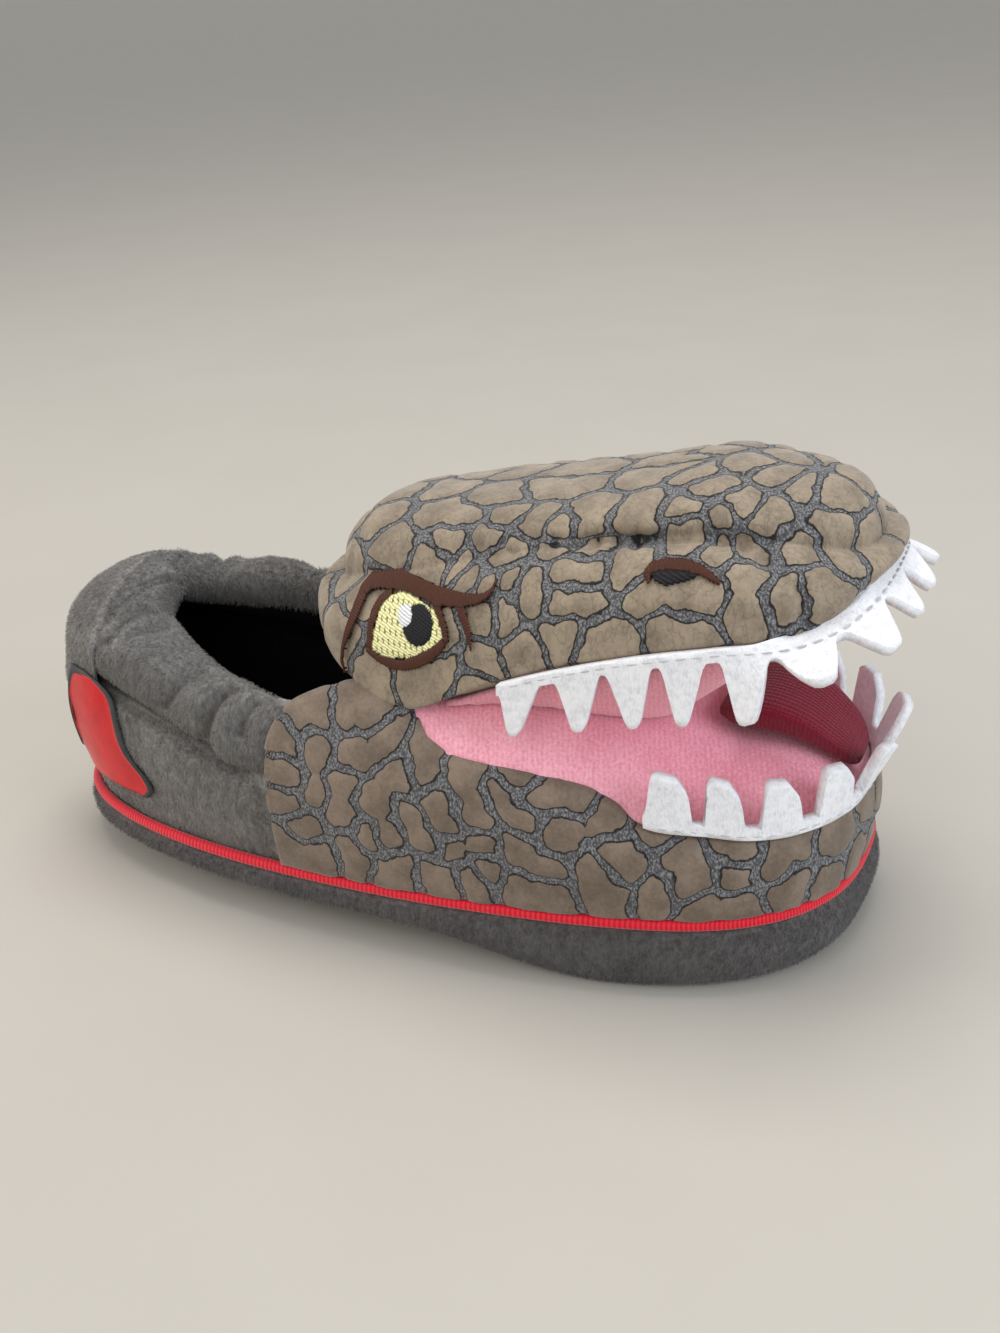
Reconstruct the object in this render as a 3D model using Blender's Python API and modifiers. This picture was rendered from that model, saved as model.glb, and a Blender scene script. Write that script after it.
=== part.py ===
"""A child's plush slipper with a stuffed animal head: sole, hollow upper, collar, jaws, teeth and head.

Sizes here are millimetres and become metres where a mesh is made. +X runs from heel to toe, -Y is the outer
side of the right foot, +Z is up. The origin is on the floor under the middle of the sole.
"""
import math
from collections import namedtuple

import bmesh
import bpy
from mathutils import Vector
from mathutils.bvhtree import BVHTree

MM = 0.001
WELD = 1e-6
GAP = 0.4  # between pieces that are sewn together
LAY = 0.6  # under a panel laid on a curved skin
UP = Vector((0, 0, 1))

# Sole: its outline seen from above, then its height
SOLE_LENGTH = 212.0
HALF_LENGTH = SOLE_LENGTH / 2
HEEL_BOX_WIDTH = 40.5  # half width of the box that the outline is drawn in, at the heel end
TOE_BOX_WIDTH = 50.7
OUTLINE_POWER = 2.6
WAIST_DEPTH = 3.0
WAIST_AT = -25.0
WAIST_SPREAD = 38.0
TOE_SWING = 4.0  # how far the toe tip turns to the inner side
SOLE_COLUMNS = 60
SPRING_START = 60.0
SoleRow = namedtuple("SoleRow", "x low top")
SOLE = (
    SoleRow(x=-106, low=0.0, top=12.2),
    SoleRow(x=-50, low=0.0, top=12.8),
    SoleRow(x=0, low=0.0, top=14.0),
    SoleRow(x=35, low=0.0, top=15.8),
    SoleRow(x=60, low=0.0, top=16.4),
    SoleRow(x=85, low=0.5, top=16.0),
    SoleRow(x=106, low=2.0, top=16.0),
)

SideRow = namedtuple("SideRow", "inset height")  # height is a share of the sole's thickness
SOLE_SIDE = (
    SideRow(inset=8.0, height=0.0),
    SideRow(inset=3.4, height=0.05),
    SideRow(inset=1.0, height=0.27),
    SideRow(inset=0.0, height=0.52),
    SideRow(inset=0.5, height=0.76),
    SideRow(inset=1.8, height=0.94),
    SideRow(inset=3.4, height=1.0),
)

PIPING_RADIUS = 1.4
PIPING_INSET = 1.9
PIPING_RISE = 1.25  # its middle above the top of the sole
PIPING_TOP = PIPING_RISE + PIPING_RADIUS + LAY

INSOLE_THICKNESS = 3.0
INSOLE_COLUMNS = 48

# Upper: a cushion form from the sole's edge up to a spine line, cut open for the foot
WALL = 3.0
UPPER_INSET = 4.0
UPPER_ROWS = 8
SPINE_HEEL = -72.0
SPINE_TOE = 78.0
THROAT_AT = -2.0
JAW_REAR = -24.5
JAW_STEP = 0.6  # half of the step in the shell's top edge behind the jaw
RIM_HEIGHT = 57.0
FRONT_COLUMNS = 17  # on each side, from the toe tip back to the jaw's rear edge
BACK_COLUMNS = 13  # on each side, from there to the heel

HEEL_HEIGHT = 76.0  # of the form before the foot's opening is cut
INSTEP_HEIGHT = 70.0
TOE_HEIGHT = 46.5
UpperRow = namedtuple("UpperRow", "x top bulge power")  # a higher power squares the section's shoulder
UPPER = (
    UpperRow(x=-95, top=HEEL_HEIGHT, bulge=6.5, power=2.4),
    UpperRow(x=-60, top=HEEL_HEIGHT - 1.0, bulge=2.8, power=2.4),
    UpperRow(x=-30, top=INSTEP_HEIGHT + 2.5, bulge=3.6, power=2.5),
    UpperRow(x=-5, top=INSTEP_HEIGHT, bulge=3.5, power=2.8),
    UpperRow(x=20, top=INSTEP_HEIGHT - 3.0, bulge=3.0, power=3.0),
    UpperRow(x=40, top=INSTEP_HEIGHT - 8.0, bulge=3.0, power=3.0),
    UpperRow(x=60, top=TOE_HEIGHT + 7.5, bulge=2.6, power=3.0),
    UpperRow(x=78, top=TOE_HEIGHT, bulge=2.4, power=3.0),
)

# Collar: sewn on at the seam, it leans in to its top; pad is half its thickness
COLLAR_POWER = 2.2
COLLAR_ROWS = 14
COLLAR_SEAT = 1.4
CollarRow = namedtuple("CollarRow", "x seam top lean pad")
COLLAR = (
    CollarRow(x=-104, seam=57.5, top=68.0, lean=16.0, pad=6.5),
    CollarRow(x=-96, seam=55.0, top=67.5, lean=15.5, pad=6.8),
    CollarRow(x=-88, seam=51.5, top=66.5, lean=14.5, pad=7.2),
    CollarRow(x=-75, seam=48.5, top=65.5, lean=13.0, pad=7.5),
    CollarRow(x=-56, seam=43.8, top=63.0, lean=10.5, pad=7.0),
    CollarRow(x=-42, seam=40.0, top=60.0, lean=8.5, pad=6.5),
    CollarRow(x=-33, seam=38.2, top=58.4, lean=7.2, pad=5.4),
    CollarRow(x=-24, seam=37.0, top=57.2, lean=6.0, pad=3.2),
)

# Lower jaw, seen from the side: the lip is the top edge of the scaly panel
JAW_THICKNESS = 2.0
JAW_ROWS = 5
LipRow = namedtuple("LipRow", "x z")
LOWER_LIP = (
    LipRow(x=-25, z=57.0),
    LipRow(x=-8, z=59.5),
    LipRow(x=10, z=59.3),
    LipRow(x=17, z=56.2),
    LipRow(x=24, z=53.4),
    LipRow(x=36, z=51.9),
    LipRow(x=47, z=50.3),
    LipRow(x=55, z=48.2),
    LipRow(x=60, z=45.7),
    LipRow(x=66, z=41.6),
    LipRow(x=75, z=39.6),
    LipRow(x=90, z=37.4),
    LipRow(x=106, z=37.0),
)
FLOOR_THICKNESS = 1.0
FLOOR_COLUMNS = 13  # of the front columns on each side
FLOOR_ROWS = 6

# Head: an outline at the lip, a smaller one at the crown seam, then in to the crown's middle line
HeadLoop = namedtuple("HeadLoop", "rear front power")
LIP_LOOP = HeadLoop(rear=-21.5, front=106.0, power=3.1)
SEAM_LOOP = HeadLoop(rear=-18.5, front=105.0, power=2.8)
HEAD_COLUMNS = 56
CHEEK_SWELL = 4.0
CHEEK_ROWS = 4
CROWN_POWER = 2.2
CROWN_ROWS = 5

LipLine = namedtuple("LipLine", "x width z")
UPPER_LIP = (
    LipLine(x=-21.5, width=38.0, z=72.5),
    LipLine(x=-15, width=39.0, z=65.5),
    LipLine(x=-6, width=39.5, z=61.5),
    LipLine(x=6, width=40.0, z=60.8),
    LipLine(x=14, width=40.0, z=61.2),
    LipLine(x=35, width=40.0, z=70.5),
    LipLine(x=59, width=39.5, z=78.0),
    LipLine(x=79, width=39.0, z=82.0),
    LipLine(x=95, width=38.5, z=82.5),
    LipLine(x=101, width=38.0, z=84.5),
    LipLine(x=106, width=38.0, z=88.0),
)
SeamLine = namedtuple("SeamLine", "x width z")
CROWN_SEAM = (
    SeamLine(x=-18.5, width=27.0, z=79.0),
    SeamLine(x=-5, width=27.0, z=84.0),
    SeamLine(x=8, width=27.0, z=88.0),
    SeamLine(x=25, width=26.0, z=92.5),
    SeamLine(x=43, width=25.0, z=96.5),
    SeamLine(x=60, width=25.0, z=99.0),
    SeamLine(x=76, width=25.5, z=100.2),
    SeamLine(x=92, width=25.0, z=98.5),
    SeamLine(x=105, width=24.0, z=94.5),
)
CrownRow = namedtuple("CrownRow", "x top")
CROWN = (
    CrownRow(x=8, top=98.5),
    CrownRow(x=25, top=101.5),
    CrownRow(x=43, top=103.5),
    CrownRow(x=60, top=107.0),
    CrownRow(x=75, top=109.5),
    CrownRow(x=87, top=108.5),
)

# Mouth roof: hangs from the lip down to a line that lies on the mouth floor
ROOF_REAR = 15.0
ROOF_FRONT = 50.0
ROOF_LOW = 47.0
ROOF_SAG_SIDE = 2.4
ROOF_SAG_FRONT = 1.1
ROOF_THICKNESS = 1.2
ROOF_LIFT = ROOF_THICKNESS + 0.7  # head's underside above the roof's lower face
ROOF_START = 0.07  # share of the way in from the lip
ROOF_COLUMNS = 17  # of the head's columns on each side
ROOF_ROWS = 6
ROOF_REST = 1.0  # above the mouth floor

# Tongue: half sizes of its rounded sections
TONGUE_POWER = 3.0
TONGUE_SIDES = 16
TongueRow = namedtuple("TongueRow", "x low high width")
TONGUE = (
    TongueRow(x=73, low=51.8, high=54.5, width=9.0),
    TongueRow(x=77, low=50.4, high=57.0, width=12.5),
    TongueRow(x=84, low=48.9, high=58.5, width=13.0),
    TongueRow(x=92, low=47.8, high=55.0, width=12.0),
    TongueRow(x=99, low=44.3, high=49.0, width=10.0),
    TongueRow(x=103, low=41.2, high=44.5, width=7.5),
)

# Felt teeth: corners of one tooth, at is a share of its width and depth a share of its length
FELT = 1.8
STRIP_ROWS = 2
ToothCorner = namedtuple("ToothCorner", "at depth")
POINTED = (
    ToothCorner(at=-0.5, depth=0.0),
    ToothCorner(at=-0.4, depth=0.16),
    ToothCorner(at=-0.1, depth=1.0),
    ToothCorner(at=0.1, depth=1.0),
    ToothCorner(at=0.4, depth=0.16),
    ToothCorner(at=0.5, depth=0.0),
)
BLUNT = (
    ToothCorner(at=-0.5, depth=0.0),
    ToothCorner(at=-0.42, depth=0.9),
    ToothCorner(at=-0.3, depth=1.0),
    ToothCorner(at=0.12, depth=0.95),
    ToothCorner(at=0.4, depth=0.6),
    ToothCorner(at=0.5, depth=0.0),
)
Tooth = namedtuple("Tooth", "x width length lean flare")  # x runs along the lip from its front middle
UPPER_TEETH = (
    Tooth(x=7, width=11.0, length=8.0, lean=0.0, flare=45.0),
    Tooth(x=21, width=11.0, length=8.0, lean=0.0, flare=58.0),
    Tooth(x=35, width=10.5, length=8.5, lean=0.0, flare=78.0),
    Tooth(x=47, width=9.6, length=11.0, lean=0.0, flare=16.0),
    Tooth(x=59, width=9.3, length=11.0, lean=0.0, flare=6.0),
    Tooth(x=70, width=9.8, length=11.0, lean=-1.0, flare=5.0),
    Tooth(x=81, width=10.2, length=11.0, lean=0.0, flare=5.0),
    Tooth(x=94.5, width=9.8, length=10.0, lean=1.8, flare=5.0),
)
LOWER_TEETH = (
    Tooth(x=8, width=9.5, length=12.0, lean=0.0, flare=27.0),
    Tooth(x=22, width=9.5, length=11.5, lean=0.0, flare=9.0),
    Tooth(x=35.5, width=8.7, length=11.5, lean=0.0, flare=5.0),
    Tooth(x=47.5, width=8.4, length=11.5, lean=0.0, flare=4.0),
    Tooth(x=59.5, width=9.8, length=11.5, lean=-1.0, flare=4.0),
)
Strip = namedtuple("Strip", "teeth corners reach band")
UPPER_STRIP = Strip(teeth=UPPER_TEETH, corners=POINTED, reach=100.0, band=3.0)
LOWER_STRIP = Strip(teeth=LOWER_TEETH, corners=BLUNT, reach=64.8, band=2.5)
LOWER_STRIP_LIFT = 3.3
PATH_SAMPLES = 240

# Patches laid on a cheek: middle and half sizes, seen from the side
PATCH_THICKNESS = 0.8
PATCH_SIDES = 20
PATCH_ROWS = 2
CheekPatch = namedtuple("CheekPatch", "name x z half_x half_z material")
EYE = CheekPatch(name="eye", x=13.0, z=77.0, half_x=12.0, half_z=8.5, material="eye_thread")
NOSTRIL = CheekPatch(name="nostril", x=72.0, z=96.0, half_x=7.5, half_z=2.2, material="nostril_thread")
HEEL_PATCH_HEIGHT = 34.0
HEEL_PATCH_HALF_HEIGHT = 15.5
HEEL_PATCH_HALF_TURN = math.radians(50.0)
HEEL_PATCH_POWER = 3.0
HEEL_PATCH_THICKNESS = 1.0
HEEL_PATCH_COLUMNS = 18
HEEL_PATCH_ROWS = 4

Finish = namedtuple("Finish", "colour roughness")
FINISHES = {
    "grey_plush": Finish(colour=(0.14, 0.135, 0.13), roughness=0.95),
    "collar_plush": Finish(colour=(0.13, 0.125, 0.12), roughness=0.95),
    "piping_red": Finish(colour=(0.62, 0.01, 0.03), roughness=0.7),
    "scale_cloth": Finish(colour=(0.19, 0.15, 0.12), roughness=0.85),
    "pink_felt": Finish(colour=(0.7, 0.22, 0.26), roughness=0.9),
    "tongue_cord": Finish(colour=(0.15, 0.006, 0.02), roughness=0.85),
    "white_felt": Finish(colour=(0.8, 0.79, 0.76), roughness=0.9),
    "black_fleece": Finish(colour=(0.01, 0.01, 0.011), roughness=0.95),
    "patch_red": Finish(colour=(0.5, 0.01, 0.02), roughness=0.6),
    "eye_thread": Finish(colour=(0.8, 0.75, 0.3), roughness=0.6),
    "nostril_thread": Finish(colour=(0.06, 0.02, 0.01), roughness=0.6),
}


def start_scene(name):
    """Empty the scene and return the part's own collection."""
    for old in list(bpy.data.objects):
        bpy.data.objects.remove(old, do_unlink=True)
    collection = bpy.data.collections.new(name)
    bpy.context.scene.collection.children.link(collection)
    return collection


def make_materials():
    """One Principled material for each finish, by name."""
    materials = {}
    for name, finish in FINISHES.items():
        material = bpy.data.materials.new(name)
        material.use_nodes = True
        shader = material.node_tree.nodes["Principled BSDF"]
        shader.inputs["Base Color"].default_value = (*finish.colour, 1.0)
        shader.inputs["Roughness"].default_value = finish.roughness
        materials[name] = material
    return materials


def along(rows, column, x):
    """The named column of a table at x: a smooth curve through its rows, level past both ends."""
    xs = [row.x for row in rows]
    values = [getattr(row, column) for row in rows]
    if x <= xs[0]:
        return values[0]
    if x >= xs[-1]:
        return values[-1]
    right = next(i for i, at in enumerate(xs) if at > x)
    left = right - 1
    span = xs[right] - xs[left]
    slopes = []
    for i in (left, right):
        before, after = max(i - 1, 0), min(i + 1, len(xs) - 1)
        slopes.append((values[after] - values[before]) / (xs[after] - xs[before]))
    t = (x - xs[left]) / span
    blend = t * t * (3 - 2 * t)
    bend = slopes[0] * t * (1 - t) ** 2 - slopes[1] * t * t * (1 - t)
    return values[left] * (1 - blend) + values[right] * blend + span * bend


def clamp(value, low, high):
    """The value held between two limits."""
    return min(max(value, low), high)


def solve(rising, low, high):
    """Where a rising function of one number crosses zero between two limits."""
    for _ in range(40):
        middle_value = (low + high) / 2
        if rising(middle_value) > 0:
            high = middle_value
        else:
            low = middle_value
    return (low + high) / 2


def squircle(turn, power):
    """A unit superellipse in the direction of turn: how far along it, how far across."""
    c, s = math.cos(turn), math.sin(turn)
    radius = (abs(c) ** power + abs(s) ** power) ** (-1 / power)
    return radius * c, radius * s


def bent_grid(columns, rows, place):
    """A grid whose vertices go to place(column, row), welded where its edges meet."""
    bm = bmesh.new()
    bmesh.ops.create_grid(bm, x_segments=columns, y_segments=rows, size=0.5)
    for vert in bm.verts:
        column = round((vert.co.x + 0.5) * columns)
        row = round((vert.co.y + 0.5) * rows)
        vert.co = place(column, row) * MM
    bmesh.ops.remove_doubles(bm, verts=bm.verts, dist=WELD)
    return bm


def face_away(bm, inside):
    """Turn an open sheet so that its faces look away from a point inside it."""
    inside = inside * MM
    facing = sum((face.calc_center_median() - inside).dot(face.normal) * face.calc_area() for face in bm.faces)
    if facing < 0:
        bmesh.ops.reverse_faces(bm, faces=bm.faces)


def split_alike(bm):
    """Split every quad along the same corners, so that two skins from one function stay parallel."""
    bmesh.ops.triangulate(bm, faces=bm.faces, quad_method="FIXED")


def close_ends(bm):
    """Fill the open ends of a tube and face the skin outwards."""
    edges = [edge for edge in bm.edges if edge.is_boundary]
    if edges:
        bmesh.ops.holes_fill(bm, edges=edges, sides=0)
    bmesh.ops.recalc_face_normals(bm, faces=bm.faces)


class Maker:
    """Adds named pieces to the part's collection."""

    def __init__(self, collection, materials):
        self.collection = collection
        self.materials = materials

    def add(self, name, bm, material):
        """An object from a finished bmesh, with its material."""
        mesh = bpy.data.meshes.new(name)
        bm.to_mesh(mesh)
        bm.free()
        mesh.materials.append(self.materials[material])
        piece = bpy.data.objects.new(name, mesh)
        self.collection.objects.link(piece)
        return piece

    def thicken(self, piece, thickness, side):
        """Give an open sheet its wall: side 1 grows outwards, -1 inwards, 0 both ways."""
        wall = piece.modifiers.new("wall", "SOLIDIFY")
        wall.thickness = thickness * MM
        wall.offset = side
        wall.use_even_offset = True
        wall.use_rim = True
        return piece


def middle(x):
    """Sideways place of the slipper's middle line, which swings to the inner side at the toe."""
    return TOE_SWING * ((x + HALF_LENGTH) / SOLE_LENGTH) ** 2


def half_width(x, inner):
    """Half width of the outline's box on the inner or the outer side of the middle line."""
    share = (x + HALF_LENGTH) / SOLE_LENGTH
    box = HEEL_BOX_WIDTH + (TOE_BOX_WIDTH - HEEL_BOX_WIDTH) * share
    waist = WAIST_DEPTH * math.exp(-(((x - WAIST_AT) / WAIST_SPREAD) ** 2))
    return box - middle(x) - waist if inner else box + middle(x)


def outline(turn, inset):
    """A point of the sole's outline from above, drawn in by an inset; turn 0 is the toe tip."""
    ahead, across = squircle(turn, OUTLINE_POWER)
    x = (HALF_LENGTH - inset) * ahead
    width = half_width(x, across > 0) - inset
    return Vector((x, middle(x) + width * across, 0))


def on_spine(x):
    """The nearest point of the middle line inside the upper's spine."""
    held = clamp(x, SPINE_HEEL, SPINE_TOE)
    return Vector((held, middle(held), 0))


def sole_low(x):
    """Height of the sole's underside: flat on the floor, with a little spring at the toe."""
    return along(SOLE, "low", x) if x > SPRING_START else 0.0


def sole_top(x):
    """Height of the sole's top face."""
    return along(SOLE, "top", x)


def build_sole(maker):
    """The sole: rings from its underside's middle line, out, up its side and in to its top's middle line."""
    last = len(SOLE_SIDE) + 1

    def place(column, row):
        turn = math.tau * column / SOLE_COLUMNS
        side = SOLE_SIDE[clamp(row - 1, 0, last - 2)]
        edge = outline(turn, side.inset)
        point = on_spine(edge.x) if row in (0, last) else edge
        low, top = sole_low(point.x), sole_top(point.x)
        return Vector((point.x, point.y, low + (top - low) * side.height))

    bm = bent_grid(SOLE_COLUMNS, last, place)
    close_ends(bm)
    return maker.add("sole", bm, "grey_plush")


def build_insole(maker):
    """The foot bed: a flat pad inside the shell, on the sole."""
    inset = UPPER_INSET + WALL + GAP

    def place(column, row):
        turn = math.tau * column / INSOLE_COLUMNS
        edge = outline(turn, inset)
        point = on_spine(edge.x) if row in (0, 3) else edge
        height = sole_top(point.x) + GAP + (INSOLE_THICKNESS if row > 1 else 0)
        return Vector((point.x, point.y, height))

    bm = bent_grid(INSOLE_COLUMNS, 3, place)
    close_ends(bm)
    return maker.add("insole", bm, "black_fleece")


def build_piping(maker):
    """The cord in the seam above the sole: a closed round tube."""
    curve = bpy.data.curves.new("piping", "CURVE")
    curve.dimensions = "3D"
    curve.bevel_depth = PIPING_RADIUS * MM
    curve.bevel_resolution = 1
    spline = curve.splines.new("POLY")
    spline.points.add(SOLE_COLUMNS - 1)
    spline.use_cyclic_u = True
    for i, point in enumerate(spline.points):
        place = outline(math.tau * i / SOLE_COLUMNS, PIPING_INSET)
        place.z = sole_top(place.x) + PIPING_RISE
        point.co = (*(place * MM), 1.0)
    curve.materials.append(maker.materials["piping_red"])
    piece = bpy.data.objects.new("piping", curve)
    maker.collection.objects.link(piece)
    return piece


def outward(turn):
    """Level direction from the spine out through the upper's wall."""
    foot = outline(turn, UPPER_INSET)
    return (foot - on_spine(foot.x)).normalized()


def upper_point(turn, rise, lift):
    """A point of the upper's skin, raised off it by a lift; rise 0 is at the sole, 1 on the spine."""
    foot = outline(turn, UPPER_INSET - lift)
    spine = on_spine(foot.x)
    base = sole_top(foot.x) + GAP
    top = along(UPPER, "top", spine.x) + lift
    across, up = squircle(rise * math.pi / 2, along(UPPER, "power", spine.x))
    swell = along(UPPER, "bulge", foot.x) * math.sin(math.pi * rise**0.75) ** 1.5
    point = spine + (foot - spine) * across + outward(turn) * swell
    point.z = base + (top - base) * up
    return point


def rise_at(turn, lift, line):
    """How far up the skin a line is met; the line gives a height for each x."""

    def above(rise):
        point = upper_point(turn, rise, lift)
        return point.z - line(point.x)

    return solve(above, 0.0, 1.0)


def turn_at(x):
    """Turn on the inner side at which the upper's foot line passes x."""
    return solve(lambda turn: x - outline(turn, UPPER_INSET).x, 0.0, math.pi)


def lower_lip(x):
    """Height of the lower lip."""
    return along(LOWER_LIP, "z", x)


def collar_seam(x):
    """Height of the seam under the collar."""
    return along(COLLAR, "seam", x)


def front_turns(columns):
    """Turns of the front columns, from the outer side round the toe to the inner side."""
    step = turn_at(JAW_REAR + JAW_STEP) / FRONT_COLUMNS
    return [step * i for i in range(-columns, columns + 1)]


def back_turns():
    """Turns of the back columns, from the inner side round the heel to the outer side."""
    start = turn_at(JAW_REAR - JAW_STEP)
    step = (math.pi - start) / BACK_COLUMNS
    return [start + step * i for i in range(2 * BACK_COLUMNS + 1)]


def build_upper(maker):
    """The hollow shell, open underneath and at the foot; its top edge steps down to the collar seam."""
    front = front_turns(FRONT_COLUMNS)
    turns = front + back_turns() + front[:1]
    last = len(turns) - 1
    ends = []
    for i, turn in enumerate(turns):
        x = outline(turn, UPPER_INSET).x
        if len(front) <= i < last:
            ends.append(rise_at(turn, 0.0, collar_seam))
        elif x < THROAT_AT:
            ends.append(rise_at(turn, 0.0, lambda _: RIM_HEIGHT))
        else:
            ends.append(1.0)

    def place(column, row):
        return upper_point(turns[column], ends[column] * row / UPPER_ROWS, 0.0)

    bm = bent_grid(last, UPPER_ROWS, place)
    face_away(bm, Vector((0, 0, 30)))
    return maker.thicken(maker.add("upper", bm, "grey_plush"), WALL, -1)


def build_collar(maker):
    """The padded roll on the shell's back edge: rounded sections along the collar seam."""
    start = turn_at(JAW_REAR - JAW_STEP - GAP - WALL / 2)
    columns = 2 * BACK_COLUMNS + 6
    step = 2 * (math.pi - start) / columns

    def place(column, row):
        turn = start + step * column
        x = outline(turn, UPPER_INSET).x
        lift = -WALL / 2
        low = upper_point(turn, rise_at(turn, lift, lambda at: collar_seam(at) + COLLAR_SEAT), lift)
        high = low - outward(turn) * along(COLLAR, "lean", x)
        high.z = along(COLLAR, "top", x)
        axis = (high - low).normalized()
        aside = (outward(turn) - axis * outward(turn).dot(axis)).normalized()
        out, up = squircle(math.tau * row / COLLAR_ROWS, COLLAR_POWER)
        return (low + high) / 2 + (high - low) / 2 * up + aside * along(COLLAR, "pad", x) * out

    bm = bent_grid(columns, COLLAR_ROWS, place)
    close_ends(bm)
    return maker.add("collar", bm, "collar_plush")


def build_jaw_panel(maker):
    """The scaly panel laid on the upper round the toe, from just above the piping to the lower lip."""
    turns = front_turns(FRONT_COLUMNS)
    lows = [rise_at(turn, LAY, lambda x: sole_top(x) + PIPING_TOP) for turn in turns]
    highs = [rise_at(turn, LAY, lower_lip) for turn in turns]

    def place(column, row):
        rise = lows[column] + (highs[column] - lows[column]) * row / JAW_ROWS
        return upper_point(turns[column], rise, LAY)

    bm = bent_grid(len(turns) - 1, JAW_ROWS, place)
    face_away(bm, Vector((40, 0, 30)))
    return maker.thicken(maker.add("jaw_panel", bm, "scale_cloth"), JAW_THICKNESS, 1)


def build_mouth_floor(maker):
    """The pink panel over the vamp, from the lower lip up to the spine."""
    turns = front_turns(FLOOR_COLUMNS)
    lows = [rise_at(turn, LAY, lambda x: lower_lip(x) + GAP) for turn in turns]

    def place(column, row):
        rise = lows[column] + (1 - lows[column]) * row / FLOOR_ROWS
        return upper_point(turns[column], rise, LAY)

    bm = bent_grid(len(turns) - 1, FLOOR_ROWS, place)
    face_away(bm, Vector((40, 0, 20)))
    return maker.thicken(maker.add("mouth_floor", bm, "pink_felt"), FLOOR_THICKNESS, 1)


def resting_tree():
    """Ray tree of the whole cushion form with the mouth floor on it, for what lies on top."""
    lift = LAY + FLOOR_THICKNESS

    def place(column, row):
        return upper_point(math.tau * column / SOLE_COLUMNS, row / FLOOR_ROWS, lift)

    bm = bent_grid(SOLE_COLUMNS, FLOOR_ROWS, place)
    tree = BVHTree.FromBMesh(bm)
    bm.free()
    return tree


class Head:
    """The stuffed head's skin: roof under it, cheeks at its sides and crown on top."""

    def __init__(self, tree):
        self.tree = tree

    def rest(self, x, y):
        """Height of the form below a point, or a low level where there is none."""
        hit = self.tree.ray_cast(Vector((x, y, 300)) * MM, -UP)[0]
        return hit.z / MM if hit else ROOF_LOW

    def on_loop(self, turn, loop, rows):
        """A point of one of the head's outlines; turn 0 is the snout's tip."""
        ahead, across = squircle(turn, loop.power)
        x = (loop.rear + loop.front) / 2 + (loop.front - loop.rear) / 2 * ahead
        return Vector((x, middle(x) + along(rows, "width", x) * across, along(rows, "z", x)))

    def lip(self, turn):
        """A point of the lip's outline."""
        return self.on_loop(turn, LIP_LOOP, UPPER_LIP)

    def seam(self, turn):
        """A point of the crown seam."""
        return self.on_loop(turn, SEAM_LOOP, CROWN_SEAM)

    def turn_at(self, x):
        """Turn on the inner side at which the lip passes x."""
        return solve(lambda turn: x - self.lip(turn).x, 0.0, math.pi)

    def out(self, turn):
        """Level direction straight out of the lip's outline."""
        before, after = self.lip(turn - 0.01), self.lip(turn + 0.01)
        return (after - before).cross(UP).normalized()

    def roof(self, turn, share):
        """A point of the roof; share 0 is the lip, 1 the line that lies on the mouth floor."""
        edge = self.lip(turn)
        across = squircle(turn, LIP_LOOP.power)[1]
        held = clamp(edge.x, ROOF_REAR, ROOF_FRONT)
        point = edge.lerp(Vector((held, middle(held), 0)), share)
        sag = ROOF_SAG_FRONT + (ROOF_SAG_SIDE - ROOF_SAG_FRONT) * min(1.0, abs(across)) ** 6
        hang = edge.z + (ROOF_LOW - edge.z) * (1 - (1 - share) ** sag)
        point.z = max(hang, self.rest(point.x, point.y) + ROOF_REST)
        return point

    def above_roof(self, turn, share, lift):
        """A point raised off the roof, square to it."""
        point = self.roof(turn, share)
        step = 0.01
        round_it = self.roof(turn + step, share) - self.roof(turn - step, share)
        inwards = self.roof(turn, share) - self.roof(turn, share - step)
        square = round_it.cross(inwards)
        return point + (square.normalized() if square.length > WELD else UP) * lift

    def cheek(self, turn, share, lift):
        """A point of a cheek, raised off it by a lift; share 0 is the lip, 1 the crown seam."""
        low, high = self.roof(turn, 0.0), self.seam(turn)
        rising = (high - low).normalized()
        square = (self.out(turn) - rising * self.out(turn).dot(rising)).normalized()
        return low.lerp(high, share) + square * (CHEEK_SWELL * math.sin(math.pi * share) + lift)

    def crown(self, turn, share):
        """A point of the crown; share 0 is its seam, 1 its middle line."""
        edge = self.seam(turn)
        held = clamp(edge.x, CROWN[0].x, CROWN[-1].x)
        spine = Vector((held, middle(held), 0))
        across, up = squircle(share * math.pi / 2, CROWN_POWER)
        point = spine + (edge - spine) * across
        point.z = edge.z + (along(CROWN, "top", held) - edge.z) * up
        return point

    def build(self, maker):
        """The closed head: underside, cheeks and crown as one skin."""
        lip_row = ROOF_ROWS + 1
        seam_row = lip_row + CHEEK_ROWS
        last = seam_row + CROWN_ROWS

        def place(column, row):
            turn = math.tau * column / HEAD_COLUMNS
            if row < lip_row:
                return self.above_roof(turn, 1 - (1 - ROOF_START) * row / ROOF_ROWS, ROOF_LIFT)
            if row <= seam_row:
                return self.cheek(turn, (row - lip_row) / CHEEK_ROWS, 0.0)
            return self.crown(turn, (row - seam_row) / CROWN_ROWS)

        bm = bent_grid(HEAD_COLUMNS, last, place)
        split_alike(bm)
        close_ends(bm)
        return maker.add("head", bm, "scale_cloth")

    def build_roof(self, maker):
        """The pink sheet under the head, in front of the mouth's corners."""
        step = math.tau / HEAD_COLUMNS
        last = 2 * ROOF_ROWS + 1

        def place(column, row):
            turn = step * (column - ROOF_COLUMNS)
            inwards = min(row, last - row)
            share = 1 - (1 - ROOF_START) * inwards / ROOF_ROWS
            return self.above_roof(turn, share, 0.0 if row > ROOF_ROWS else ROOF_THICKNESS)

        bm = bent_grid(2 * ROOF_COLUMNS, last, place)
        split_alike(bm)
        close_ends(bm)
        return maker.add("mouth_roof", bm, "pink_felt")

    def build_patch(self, maker, patch, side, name):
        """An embroidered patch on one cheek: a disc seen from the side; side is 1 for the inner cheek."""

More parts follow.
